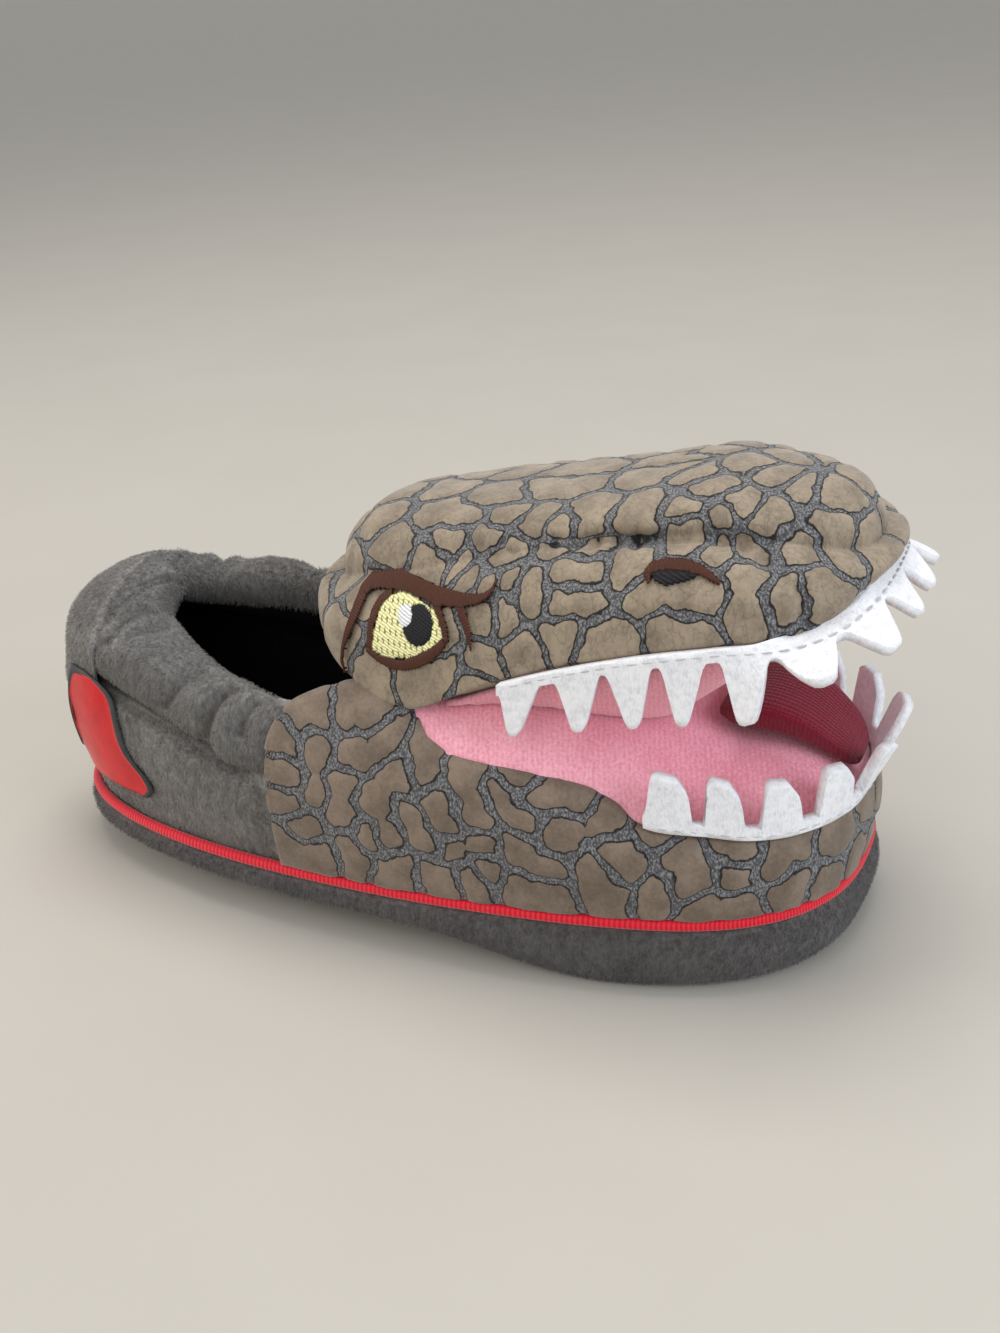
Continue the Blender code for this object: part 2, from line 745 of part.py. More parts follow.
        def place(column, row):
            spoke, size = math.tau * column / PATCH_SIDES, row / PATCH_ROWS
            x = patch.x + patch.half_x * size * math.cos(spoke)
            z = patch.z + patch.half_z * size * math.sin(spoke)
            turn = side * self.turn_at(x)
            share = solve(lambda at: self.cheek(turn, at, GAP).z - z, 0.0, 1.0)
            return self.cheek(turn, share, GAP)

        bm = bent_grid(PATCH_SIDES, PATCH_ROWS, place)
        face_away(bm, Vector((patch.x, 0, patch.z)))
        return maker.thicken(maker.add(name, bm, patch.material), PATCH_THICKNESS, 1)


def build_tongue(maker):
    """The tongue: rounded sections from the back of the mouth to its tip."""

    def place(column, row):
        station = TONGUE[column]
        across, up = squircle(math.tau * row / TONGUE_SIDES, TONGUE_POWER)
        y = middle(station.x) + station.width * across
        z = (station.low + station.high) / 2 + (station.high - station.low) / 2 * up
        return Vector((station.x, y, z))

    bm = bent_grid(len(TONGUE) - 1, TONGUE_SIDES, place)
    close_ends(bm)
    return maker.add("tongue", bm, "tongue_cord")


def turns_by_length(edge):
    """A function that gives the turn at a length along an edge curve, measured from its front middle."""
    turns = [math.pi * i / PATH_SAMPLES for i in range(-PATH_SAMPLES, PATH_SAMPLES + 1)]
    places = [edge(turn) for turn in turns]
    lengths = [0.0]
    for before, after in zip(places, places[1:]):
        lengths.append(lengths[-1] + (after - before).length)
    front = lengths[PATH_SAMPLES]

    def turn_for(length):
        i = next(i for i in range(1, len(lengths)) if lengths[i] - front >= length)
        part = (length + front - lengths[i - 1]) / (lengths[i] - lengths[i - 1])
        return turns[i - 1] + (turns[i] - turns[i - 1]) * part

    return turn_for


def strip_corners(strip):
    """Corners along a whole strip: each one's length from the front middle, and how far it hangs past the band."""
    half = []
    for tooth in strip.teeth:
        for corner in strip.corners:
            at = tooth.x - corner.at * tooth.width + tooth.lean * corner.depth
            half.append(ToothCorner(at=at, depth=tooth.length * corner.depth))
    half.append(ToothCorner(at=strip.reach, depth=0.0))
    half.sort(key=lambda corner: corner.at)
    return [ToothCorner(at=-corner.at, depth=corner.depth) for corner in reversed(half)] + half


def build_strip(maker, name, strip, edge, out, rises):
    """A felt strip with teeth, cut in one piece and bent along a lip; rises is 1 for up, -1 for down."""
    turn_for = turns_by_length(edge)
    corners = strip_corners(strip)

    def place(column, row):
        corner = corners[column]
        turn = turn_for(corner.at)
        flare = math.radians(along(strip.teeth, "flare", abs(corner.at)))
        hang = UP * rises * math.cos(flare) + out(turn) * math.sin(flare)
        return edge(turn) + hang * (strip.band + corner.depth) * row / STRIP_ROWS

    bm = bent_grid(len(corners) - 1, STRIP_ROWS, place)
    face_away(bm, Vector((60, 0, 60)))
    return maker.thicken(maker.add(name, bm, "white_felt"), FELT, 0)


def build_teeth(maker, head):
    """Both strips: pointed teeth hanging from the upper lip, blunt ones standing on the lower lip."""

    def upper_edge(turn):
        return head.lip(turn) + head.out(turn) * (FELT / 2 + GAP) - UP * GAP

    def lower_edge(turn):
        rise = rise_at(turn, LOWER_STRIP_LIFT, lambda x: lower_lip(x) + LAY)
        return upper_point(turn, rise, LOWER_STRIP_LIFT)

    build_strip(maker, "upper_teeth", UPPER_STRIP, upper_edge, head.out, -1)
    build_strip(maker, "lower_teeth", LOWER_STRIP, lower_edge, outward, 1)


def build_heel_patch(maker):
    """A plain oval patch laid on the heel."""

    def place(column, row):
        spoke = math.pi * column / HEEL_PATCH_COLUMNS
        around, reach = squircle(spoke, HEEL_PATCH_POWER)
        turn = math.pi - HEEL_PATCH_HALF_TURN * around
        height = HEEL_PATCH_HEIGHT + HEEL_PATCH_HALF_HEIGHT * reach * (2 * row / HEEL_PATCH_ROWS - 1)
        return upper_point(turn, rise_at(turn, LAY, lambda _: height), LAY)

    bm = bent_grid(HEEL_PATCH_COLUMNS, HEEL_PATCH_ROWS, place)
    face_away(bm, Vector((-60, 0, HEEL_PATCH_HEIGHT)))
    return maker.thicken(maker.add("heel_patch", bm, "patch_red"), HEEL_PATCH_THICKNESS, 1)


def build_slipper():
    """Build every piece of the slipper."""
    maker = Maker(start_scene("plush_slipper"), make_materials())
    build_sole(maker)
    build_insole(maker)
    build_piping(maker)
    build_upper(maker)
    build_collar(maker)
    build_jaw_panel(maker)
    build_mouth_floor(maker)
    head = Head(resting_tree())
    head.build(maker)
    head.build_roof(maker)
    for patch in (EYE, NOSTRIL):
        head.build_patch(maker, patch, -1, patch.name + "_right")
        head.build_patch(maker, patch, 1, patch.name + "_left")
    build_tongue(maker)
    build_teeth(maker, head)
    build_heel_patch(maker)


build_slipper()
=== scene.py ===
"""Looks of a child's plush slipper with a stuffed reptile head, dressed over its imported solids.

Sizes are millimetres and become metres where a mesh is made. +X runs from heel to toe, -Y is the outer
side of the right foot and +Z is up. Forms hold the slipper's surfaces as functions of a turn about the foot
(0 at the toe tip), pieces make dense cloth on them, and finishes make the node materials.
"""

import logging
import math
from dataclasses import dataclass
from enum import Enum
from typing import Callable, Sequence

import bmesh
import bpy
import numpy as np
from mathutils import Matrix, Vector, noise
from mathutils.bvhtree import BVHTree


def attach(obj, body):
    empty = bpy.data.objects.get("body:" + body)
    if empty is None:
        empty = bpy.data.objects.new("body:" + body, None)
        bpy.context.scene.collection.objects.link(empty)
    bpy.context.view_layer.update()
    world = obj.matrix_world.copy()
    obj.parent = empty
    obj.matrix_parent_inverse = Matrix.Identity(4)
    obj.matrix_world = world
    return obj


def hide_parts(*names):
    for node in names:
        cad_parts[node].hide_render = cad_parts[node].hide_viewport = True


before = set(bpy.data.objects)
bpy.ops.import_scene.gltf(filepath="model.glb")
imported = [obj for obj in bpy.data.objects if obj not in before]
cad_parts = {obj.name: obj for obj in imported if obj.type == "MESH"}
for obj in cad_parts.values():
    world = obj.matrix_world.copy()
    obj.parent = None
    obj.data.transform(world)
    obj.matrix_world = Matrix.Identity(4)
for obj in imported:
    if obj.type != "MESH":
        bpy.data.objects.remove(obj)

Array = np.ndarray
Colour = tuple[float, float, float]
Spot = tuple[float, float, float]
Pair = tuple[float, float]
Curve = Callable[[Array], Array]
Surface = Callable[[Array, Array], Array]
Mesh = bmesh.types.BMesh
Material = bpy.types.Material
Socket = bpy.types.NodeSocket

MM = 0.001  # metres in a millimetre
WELD = 1e-6  # vertices this near are one, in metres
TINY = 1e-9  # keeps a length off zero
FLAT = 1e-6  # a cross product shorter than this has no direction
FAR = 1e9  # further off than anything
NUDGE = 0.01  # short way along a form, to read its direction
RAY_START = 300.0  # height or side distance from which rays are cast
GAP = 0.4  # between sewn pieces
LAY = 0.6  # between the upper's skin and what lies on it
FELT = 2.3  # thickness of the teeth
LOWER_STRIP_LIFT = 3.3  # of the lower teeth off the upper's skin
BODY = "root"
CLOTH_MAP = "Cloth"
UP = np.array([0.0, 0.0, 1.0])
INSIDE = (0, 0, 30)  # a place inside the upper
COLLAR_X = (-104, -96, -88, -75, -56, -42, -33, -24)  # where the collar's sections are given
NOISE_SEED = 4

log = logging.getLogger("slipper")


class Side(Enum):
    """The two sides of the slipper, as the sign of the turn and of y."""

    OUTER = -1
    INNER = 1


class Thread(Enum):
    """Embroidery threads and their colours."""

    BROWN = (0.082, 0.024, 0.011)
    YELLOW = (0.93, 0.90, 0.46)
    OLIVE = (0.20, 0.17, 0.05)
    BLACK = (0.006, 0.006, 0.009)
    WHITE = (0.85, 0.86, 0.88)


def bridge(t: Array, start: Array, end: Array, slope_in: Array, slope_out: Array) -> Array:
    """Values on the way t from start to end, with given slopes at both."""
    blend = t * t * (3 - 2 * t)
    bend = slope_in * t * (1 - t) ** 2 - slope_out * t * t * (1 - t)
    return start * (1 - blend) + end * blend + bend


class Profile:
    """A smooth curve through a few rows of (x, value), level past both ends."""

    def __init__(self, *rows: Pair) -> None:
        """Keep the rows and work out the slope at each one.

        Args:
            rows: pairs of a place and the value there, in rising order.
        """
        self.xs, self.values = np.array(rows, dtype=float).T
        i = np.arange(len(rows))
        before, after = np.maximum(i - 1, 0), np.minimum(i + 1, len(rows) - 1)
        self.slopes = (self.values[after] - self.values[before]) / (self.xs[after] - self.xs[before])

    def __call__(self, x: Array) -> Array:
        """Values of the curve at x."""
        x = np.clip(x, self.xs[0], self.xs[-1])
        right = np.clip(np.searchsorted(self.xs, x, side="right"), 1, len(self.xs) - 1)
        left = right - 1
        span = self.xs[right] - self.xs[left]
        t = (x - self.xs[left]) / span
        slopes = span * self.slopes[left], span * self.slopes[right]
        return bridge(t, self.values[left], self.values[right], *slopes)


def squircle(turn: Array, power: Array | float) -> tuple[Array, Array]:
    """A unit superellipse in the direction of turn.

    Args:
        turn: angles in radians.
        power: 2 for a circle, higher for squarer corners.

    Returns:
        How far along and how far across each point is.
    """
    c, s = np.cos(turn), np.sin(turn)
    radius = (np.abs(c) ** power + np.abs(s) ** power) ** (-1 / power)
    return radius * c, radius * s


def solve(rising: Curve, low: Array, high: Array, halvings: int = 34) -> Array:
    """Where a rising function crosses zero, for many starts at once.

    Args:
        rising: the function.
        low: lower limits.
        high: upper limits.
        halvings: how often the span between the limits is halved.

    Returns:
        The crossings.
    """
    for _ in range(halvings):
        half = (low + high) / 2
        above = rising(half) > 0
        high = np.where(above, half, high)
        low = np.where(above, low, half)
    return (low + high) / 2


def unit(vectors: Array) -> Array:
    """Vectors of length one in the same directions."""
    return vectors / np.maximum(np.linalg.norm(vectors, axis=-1, keepdims=True), TINY)


def ease(low: float, high: float, value: Array) -> Array:
    """A smooth step from 0 at low to 1 at high."""
    t = np.clip((value - low) / (high - low), 0.0, 1.0)
    return t * t * (3 - 2 * t)


def soft_noise(points: Array, size: float) -> Array:
    """Smooth noise from -1 to 1 at points, with features of about a size."""
    return np.array([noise.noise(Vector(point)) for point in points / size])


def noise_shift(points: Array, size: float) -> Array:
    """Smooth vector noise at points, with features of about a size."""
    return np.array([noise.noise_vector(Vector(point)) for point in points / size])


@dataclass(frozen=True)
class SoleForm:
    """Outline and heights of the sole."""

    half_length: float = 106.0
    heel_box: float = 40.5
    toe_box: float = 50.7
    power: float = 2.6
    waist_depth: float = 3.0
    waist_at: float = -25.0
    waist_spread: float = 38.0
    toe_swing: float = 4.0
    spine_heel: float = -72.0
    spine_toe: float = 78.0
    low: Profile = Profile((35, 0.0), (60, 0.0), (85, 0.5), (106, 2.0))
    top: Profile = Profile(
        (-106, 12.2), (-50, 12.8), (0, 14.0), (35, 15.8), (60, 16.4), (85, 16.0), (106, 16.0)
    )

    def middle(self, x: Array) -> Array:
        """Sideways place of the middle line, which swings to the inner side at the toe."""
        return self.toe_swing * ((x + self.half_length) / (2 * self.half_length)) ** 2

    def half_width(self, x: Array, across: Array) -> Array:
        """Half width of the outline's box on the side that across points to."""
        share = (x + self.half_length) / (2 * self.half_length)
        box = self.heel_box + (self.toe_box - self.heel_box) * share
        waist = self.waist_depth * np.exp(-(((x - self.waist_at) / self.waist_spread) ** 2))
        return np.where(across > 0, box - self.middle(x) - waist, box + self.middle(x))

    def outline(self, turn: Array, inset: Array | float) -> Array:
        """Points of the outline from above, drawn in by an inset."""
        ahead, across = squircle(turn, self.power)
        x = (self.half_length - inset) * ahead
        y = self.middle(x) + (self.half_width(x, across) - inset) * across
        return np.stack([x, y, np.zeros_like(x)], axis=-1)

    def on_middle(self, x: Array, start: float, end: float) -> Array:
        """Points of the middle line on the floor, held between its start and end."""
        held = np.clip(x, start, end)
        return np.stack([held, self.middle(held), np.zeros_like(held)], axis=-1)

    def on_spine(self, x: Array) -> Array:
        """Nearest points of the middle line inside the spine."""
        return self.on_middle(x, self.spine_heel, self.spine_toe)


@dataclass(frozen=True)
class UpperForm:
    """The cushion form of the upper, from the sole's edge to its spine line."""

    sole: SoleForm
    inset: float = 4.0
    wall: float = 3.0
    jaw_rear: float = -24.5
    throat: float = -2.0
    rim: float = 57.0
    bulge_low: float = 0.75
    bulge_round: float = 1.5
    top: Profile = Profile(
        (-95, 76.0), (-60, 75.0), (-30, 72.5), (-5, 70.0), (20, 67.0), (40, 62.0), (60, 54.0), (78, 46.5)
    )
    bulge: Profile = Profile(
        (-95, 6.5), (-60, 2.8), (-30, 3.6), (-5, 3.5), (20, 3.0), (40, 3.0), (60, 2.6), (78, 2.4)
    )
    power: Profile = Profile((-95, 2.4), (-60, 2.4), (-30, 2.5), (-5, 2.8), (20, 3.0), (40, 3.0), (78, 3.0))
    lower_lip: Profile = Profile(
        (-25, 57.0), (-8, 59.5), (10, 59.3), (17, 56.2), (24, 53.4), (36, 51.9), (47, 50.3), (55, 48.2),
        (60, 45.7), (66, 41.6), (75, 39.6), (90, 37.4), (106, 37.0),
    )

    def outward(self, turn: Array) -> Array:
        """Level directions from the spine out through the wall."""
        foot = self.sole.outline(turn, self.inset)
        return unit(foot - self.sole.on_spine(foot[..., 0]))

    def point(self, turn: Array, rise: Array, lift: Array | float) -> Array:
        """Points of the skin, raised off it by a lift; rise 0 is at the sole, 1 on the spine."""
        foot = self.sole.outline(turn, self.inset - lift)
        spine = self.sole.on_spine(foot[..., 0])
        base = self.sole.top(foot[..., 0]) + GAP
        top = self.top(spine[..., 0]) + lift
        across, up = squircle(rise * math.pi / 2, self.power(spine[..., 0]))
        climb = np.clip(rise, 0, 1) ** self.bulge_low
        round_side = np.clip(np.sin(math.pi * climb), 0, 1) ** self.bulge_round
        swell = self.bulge(foot[..., 0]) * round_side
        point = spine + (foot - spine) * across[..., None] + self.outward(turn) * swell[..., None]
        point[..., 2] = base + (top - base) * up
        return point

    def rise_at(self, turn: Array, lift: float, line: Curve) -> Array:
        """How far up the skin a line of heights over x is met."""

        def above(rise: Array) -> Array:
            """Height of the skin above the line."""
            point = self.point(turn, rise, lift)
            return point[..., 2] - line(point[..., 0])

        return solve(above, np.zeros_like(turn), np.ones_like(turn))

    def at_line(self, turn: Array, lift: float, line: Curve) -> Array:
        """Points of the skin, raised off it by a lift, where a line of heights over x is met."""
        return self.point(turn, self.rise_at(turn, lift, line), lift)

    def turn_at(self, x: float) -> float:
        """Turn on the inner side at which the foot line passes x."""
        ends = np.array([0.0]), np.array([math.pi])
        return float(solve(lambda turn: x - self.sole.outline(turn, self.inset)[..., 0], *ends)[0])


@dataclass(frozen=True)
class HeadForm:
    """The stuffed head: roof of the mouth under it, cheeks at its sides and crown on top."""

    upper: UpperForm
    tree: BVHTree
    lip_power: float = 3.1
    seam_power: float = 2.8
    cheek_swell: float = 4.0
    crown_power: float = 2.2
    roof_rear: float = 15.0
    roof_front: float = 50.0
    roof_low: float = 47.0
    roof_rest: float = 1.0
    hang: float = 1.1
    side_hang: float = 1.3
    side_power: float = 6.0
    lip_width: Profile = Profile(
        (-21.5, 38), (-15, 39), (-6, 39.5), (6, 40), (35, 40), (59, 39.5), (95, 38.5), (106, 38)
    )
    lip_height: Profile = Profile(
        (-21.5, 72.5), (-15, 65.5), (-6, 61.5), (6, 60.8), (14, 61.4), (35, 71.5), (59, 79.2), (79, 82.8),
        (95, 83.5), (101, 85.5), (106, 89.0),
    )
    seam_width: Profile = Profile(
        (-18.5, 27), (8, 27), (25, 26), (43, 25), (60, 25), (76, 25.5), (92, 25), (105, 24)
    )
    seam_height: Profile = Profile(
        (-18.5, 79.0), (-5, 84.0), (8, 88.0), (25, 92.5), (43, 96.5), (60, 99.0), (76, 100.2), (92, 98.5),
        (105, 94.5),
    )
    crown_top: Profile = Profile((8, 98.5), (25, 101.5), (43, 103.5), (60, 107.0), (75, 109.5), (87, 108.5))

    def rest(self, points: Array) -> Array:
        """Heights of the vamp under points, or the roof's low level where there is none."""
        down = Vector((0, 0, -1))
        hits = [self.tree.ray_cast(Vector((x, y, RAY_START)), down)[0] for x, y in points[:, :2]]
        return np.array([hit.z if hit else self.roof_low for hit in hits])

    def loop(self, turn: Array, power: float, width: Profile, height: Profile) -> Array:
        """Points of one of the head's outlines, which ends where its width does."""
        ahead, across = squircle(turn, power)
        rear, front = width.xs[0], width.xs[-1]
        x = (rear + front) / 2 + (front - rear) / 2 * ahead
        return np.stack([x, self.upper.sole.middle(x) + width(x) * across, height(x)], axis=-1)

    def lip(self, turn: Array) -> Array:
        """Points of the lip."""
        return self.loop(turn, self.lip_power, self.lip_width, self.lip_height)

    def seam(self, turn: Array) -> Array:
        """Points of the crown's edge."""
        return self.loop(turn, self.seam_power, self.seam_width, self.seam_height)

    def out(self, turn: Array) -> Array:
        """Level directions straight out of the lip."""
        return unit(np.cross(self.lip(turn + NUDGE) - self.lip(turn - NUDGE), UP))

    def roof(self, turn: Array, share: Array) -> Array:
        """Points of the roof; share 0 is the lip, 1 the line that lies on the vamp."""
        edge = self.lip(turn)
        across = np.abs(squircle(turn, self.lip_power)[1])
        inner = self.upper.sole.on_middle(edge[..., 0], self.roof_rear, self.roof_front)
        point = edge + (inner - edge) * share[..., None]
        sag = self.hang + self.side_hang * np.minimum(1.0, across) ** self.side_power
        hang = edge[..., 2] + (self.roof_low - edge[..., 2]) * (1 - np.clip(1 - share, 0, 1) ** sag)
        point[..., 2] = np.maximum(hang, self.rest(point) + self.roof_rest)
        return point

    def above_roof(self, turn: Array, share: Array, lift: Array | float) -> Array:
        """Points raised off the roof, square to it."""
        point = self.roof(turn, share)
        round_it = self.roof(turn + NUDGE, share) - self.roof(turn - NUDGE, share)
        inwards = point - self.roof(turn, share - NUDGE)
        square = np.cross(round_it, inwards)
        flat = np.linalg.norm(square, axis=-1, keepdims=True) < FLAT
        return point + np.where(flat, UP, unit(square)) * np.asarray(lift)[..., None]

    def cheek(self, turn: Array, share: Array, lift: Array | float) -> Array:
        """Points of a cheek, raised by a lift; share 0 is the lip, 1 the crown's edge."""
        low, high = self.roof(turn, np.zeros_like(turn)), self.seam(turn)
        rising, out = unit(high - low), self.out(turn)
        square = unit(out - rising * (out * rising).sum(-1, keepdims=True))
        swell = self.cheek_swell * np.sin(math.pi * share) + lift
        return low + (high - low) * share[..., None] + square * swell[..., None]

    def crown(self, turn: Array, share: Array) -> Array:
        """Points of the crown; share 0 is its edge, 1 its middle line."""
        edge = self.seam(turn)
        spine = self.upper.sole.on_middle(edge[..., 0], self.crown_top.xs[0], self.crown_top.xs[-1])
        across, up = squircle(share * math.pi / 2, self.crown_power)
        point = spine + (edge - spine) * across[..., None]
        point[..., 2] = edge[..., 2] + (self.crown_top(spine[..., 0]) - edge[..., 2]) * up
        return point


def wrapped(upper: UpperForm, turns: Array, lows: Array, highs: Array, rows: int, lift: Curve) -> Mesh:
    """A sheet that follows the upper's skin between two lines.

    Args:
        upper: the form under the sheet.
        turns: turn of each column of vertices.
        lows: rise of each column's lower end.
        highs: rise of its upper end.
        rows: how many faces from end to end.
        lift: gives the height off the skin for v from 0 at the lower end to 1.

    Returns:
        The sheet, with its faces outwards.
    """

    def place(u: Array, v: Array) -> Array:
        """Points from the lower to the upper line."""
        column = np.rint(u * (len(turns) - 1)).astype(int)
        return upper.point(turns[column], lows[column] + (highs[column] - lows[column]) * v, lift(v))

    return face_away(bent_grid(len(turns) - 1, rows, place), INSIDE)


def resting_tree(upper: UpperForm, lift: float, columns: int = 180, rows: int = 30) -> BVHTree:
    """Ray tree of the whole cushion form, in millimetres, for what lies on top of it."""
    bm = bent_grid(columns, rows, lambda u, v: upper.point(u * math.tau, v, lift) / MM)
    tree = BVHTree.FromBMesh(bm)
    bm.free()
    return tree


def bent_grid(columns: int, rows: int, surface: Surface) -> Mesh:
    """A grid bent to a surface and welded where its edges meet.

    Args:
        columns: how many faces along u.
        rows: how many faces along v.
        surface: gives points in millimetres for u and v from 0 to 1.

    Returns:
        The bmesh in metres, with u and v kept in a UV map.
    """
    bm = bmesh.new()
    bm.loops.layers.uv.new(CLOTH_MAP)
    bmesh.ops.create_grid(bm, x_segments=columns, y_segments=rows, size=0.5, calc_uvs=True)
    flat = np.array([vert.co.xy for vert in bm.verts]) + 0.5
    for vert, point in zip(bm.verts, surface(flat[:, 0], flat[:, 1]) * MM):
        vert.co = point
    bmesh.ops.remove_doubles(bm, verts=bm.verts, dist=WELD)
    return smooth(bm)


def smooth(bm: Mesh) -> Mesh:
    """Shade every face of a mesh smooth."""
    for face in bm.faces:
        face.smooth = True
    return bm


def close_up(bm: Mesh) -> Mesh:
    """Fill the open ends of a skin and face it outwards."""
    edges = [edge for edge in bm.edges if edge.is_boundary]
    if edges:
        bmesh.ops.holes_fill(bm, edges=edges, sides=0)
    bmesh.ops.recalc_face_normals(bm, faces=bm.faces)
    return bm


def face_away(bm: Mesh, inside: Sequence[float]) -> Mesh:
    """Turn an open sheet so that its faces look away from a point inside it."""
    centre = Vector(inside) * MM
    facing = (face.normal.dot(face.calc_center_median() - centre) * face.calc_area() for face in bm.faces)
    if sum(facing) < 0:
        bmesh.ops.reverse_faces(bm, faces=bm.faces)
    return bm


class Piece:
    def __init__(self, name: str, bm: Mesh, *materials: Material) -> None:
        """Make the object from a bmesh.

        Args:
            name: the piece's name.
            bm: its mesh, in metres, which is freed.
            materials: its material slots, in order.
        """
        mesh = bpy.data.meshes.new(name)
        bm.to_mesh(mesh)
        bm.free()
        for material in materials:
            mesh.materials.append(material)
        self.mesh = mesh
        self.object = bpy.data.objects.new(name, mesh)
        bpy.context.scene.collection.objects.link(self.object)

    def points(self) -> Array:
        """Places of the vertices, in millimetres."""
        values = np.empty(len(self.mesh.vertices) * 3)
        self.mesh.vertices.foreach_get("co", values)
        return values.reshape(-1, 3) / MM

    def normals(self) -> Array:
        """Directions out of the skin at the vertices."""
        values = np.empty(len(self.mesh.vertices) * 3)
        self.mesh.vertex_normals.foreach_get("vector", values)
        return values.reshape(-1, 3)

    def raise_skin(self, relief: Array) -> None:
        """Move each vertex out of the skin by its relief."""
        places = (self.points() + self.normals() * relief[:, None]) * MM
        self.mesh.vertices.foreach_set("co", places.ravel())
        self.mesh.update()

    def mark(self, name: str, values: Array) -> None:
        """Keep a number for each vertex, for a material to read."""
        layer = self.mesh.attributes.new(name, "FLOAT", "POINT")
        layer.data.foreach_set("value", values.astype(np.float32))

    def paint(self, name: str, colours: Array) -> None:
        """Keep a colour for each vertex, for a material to read."""
        layer = self.mesh.attributes.new(name, "FLOAT_COLOR", "POINT")
        full = np.concatenate([colours, np.ones((len(colours), 1))], axis=1)
        layer.data.foreach_set("color", full.astype(np.float32).ravel())

    def thicken(self, thickness: float, side: int, inner_slot: int = 0, even: bool = True) -> None:
        """Give an open sheet its wall: side 1 grows outwards, -1 inwards and 0 both ways."""
        wall = self.object.modifiers.new("wall", "SOLIDIFY")
        wall.thickness = thickness * MM
        wall.offset = side
        wall.use_even_offset = even
        wall.material_offset = inner_slot
        wall.material_offset_rim = inner_slot

    def declare(self, slot: str, *nodes: str) -> "Piece":
        """Ride on the slipper and stand for solids."""
        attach(self.object, BODY)
        if nodes:
            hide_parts(*nodes)
        log.info("%s: %d faces", self.object.name, len(self.mesh.polygons))
        return self


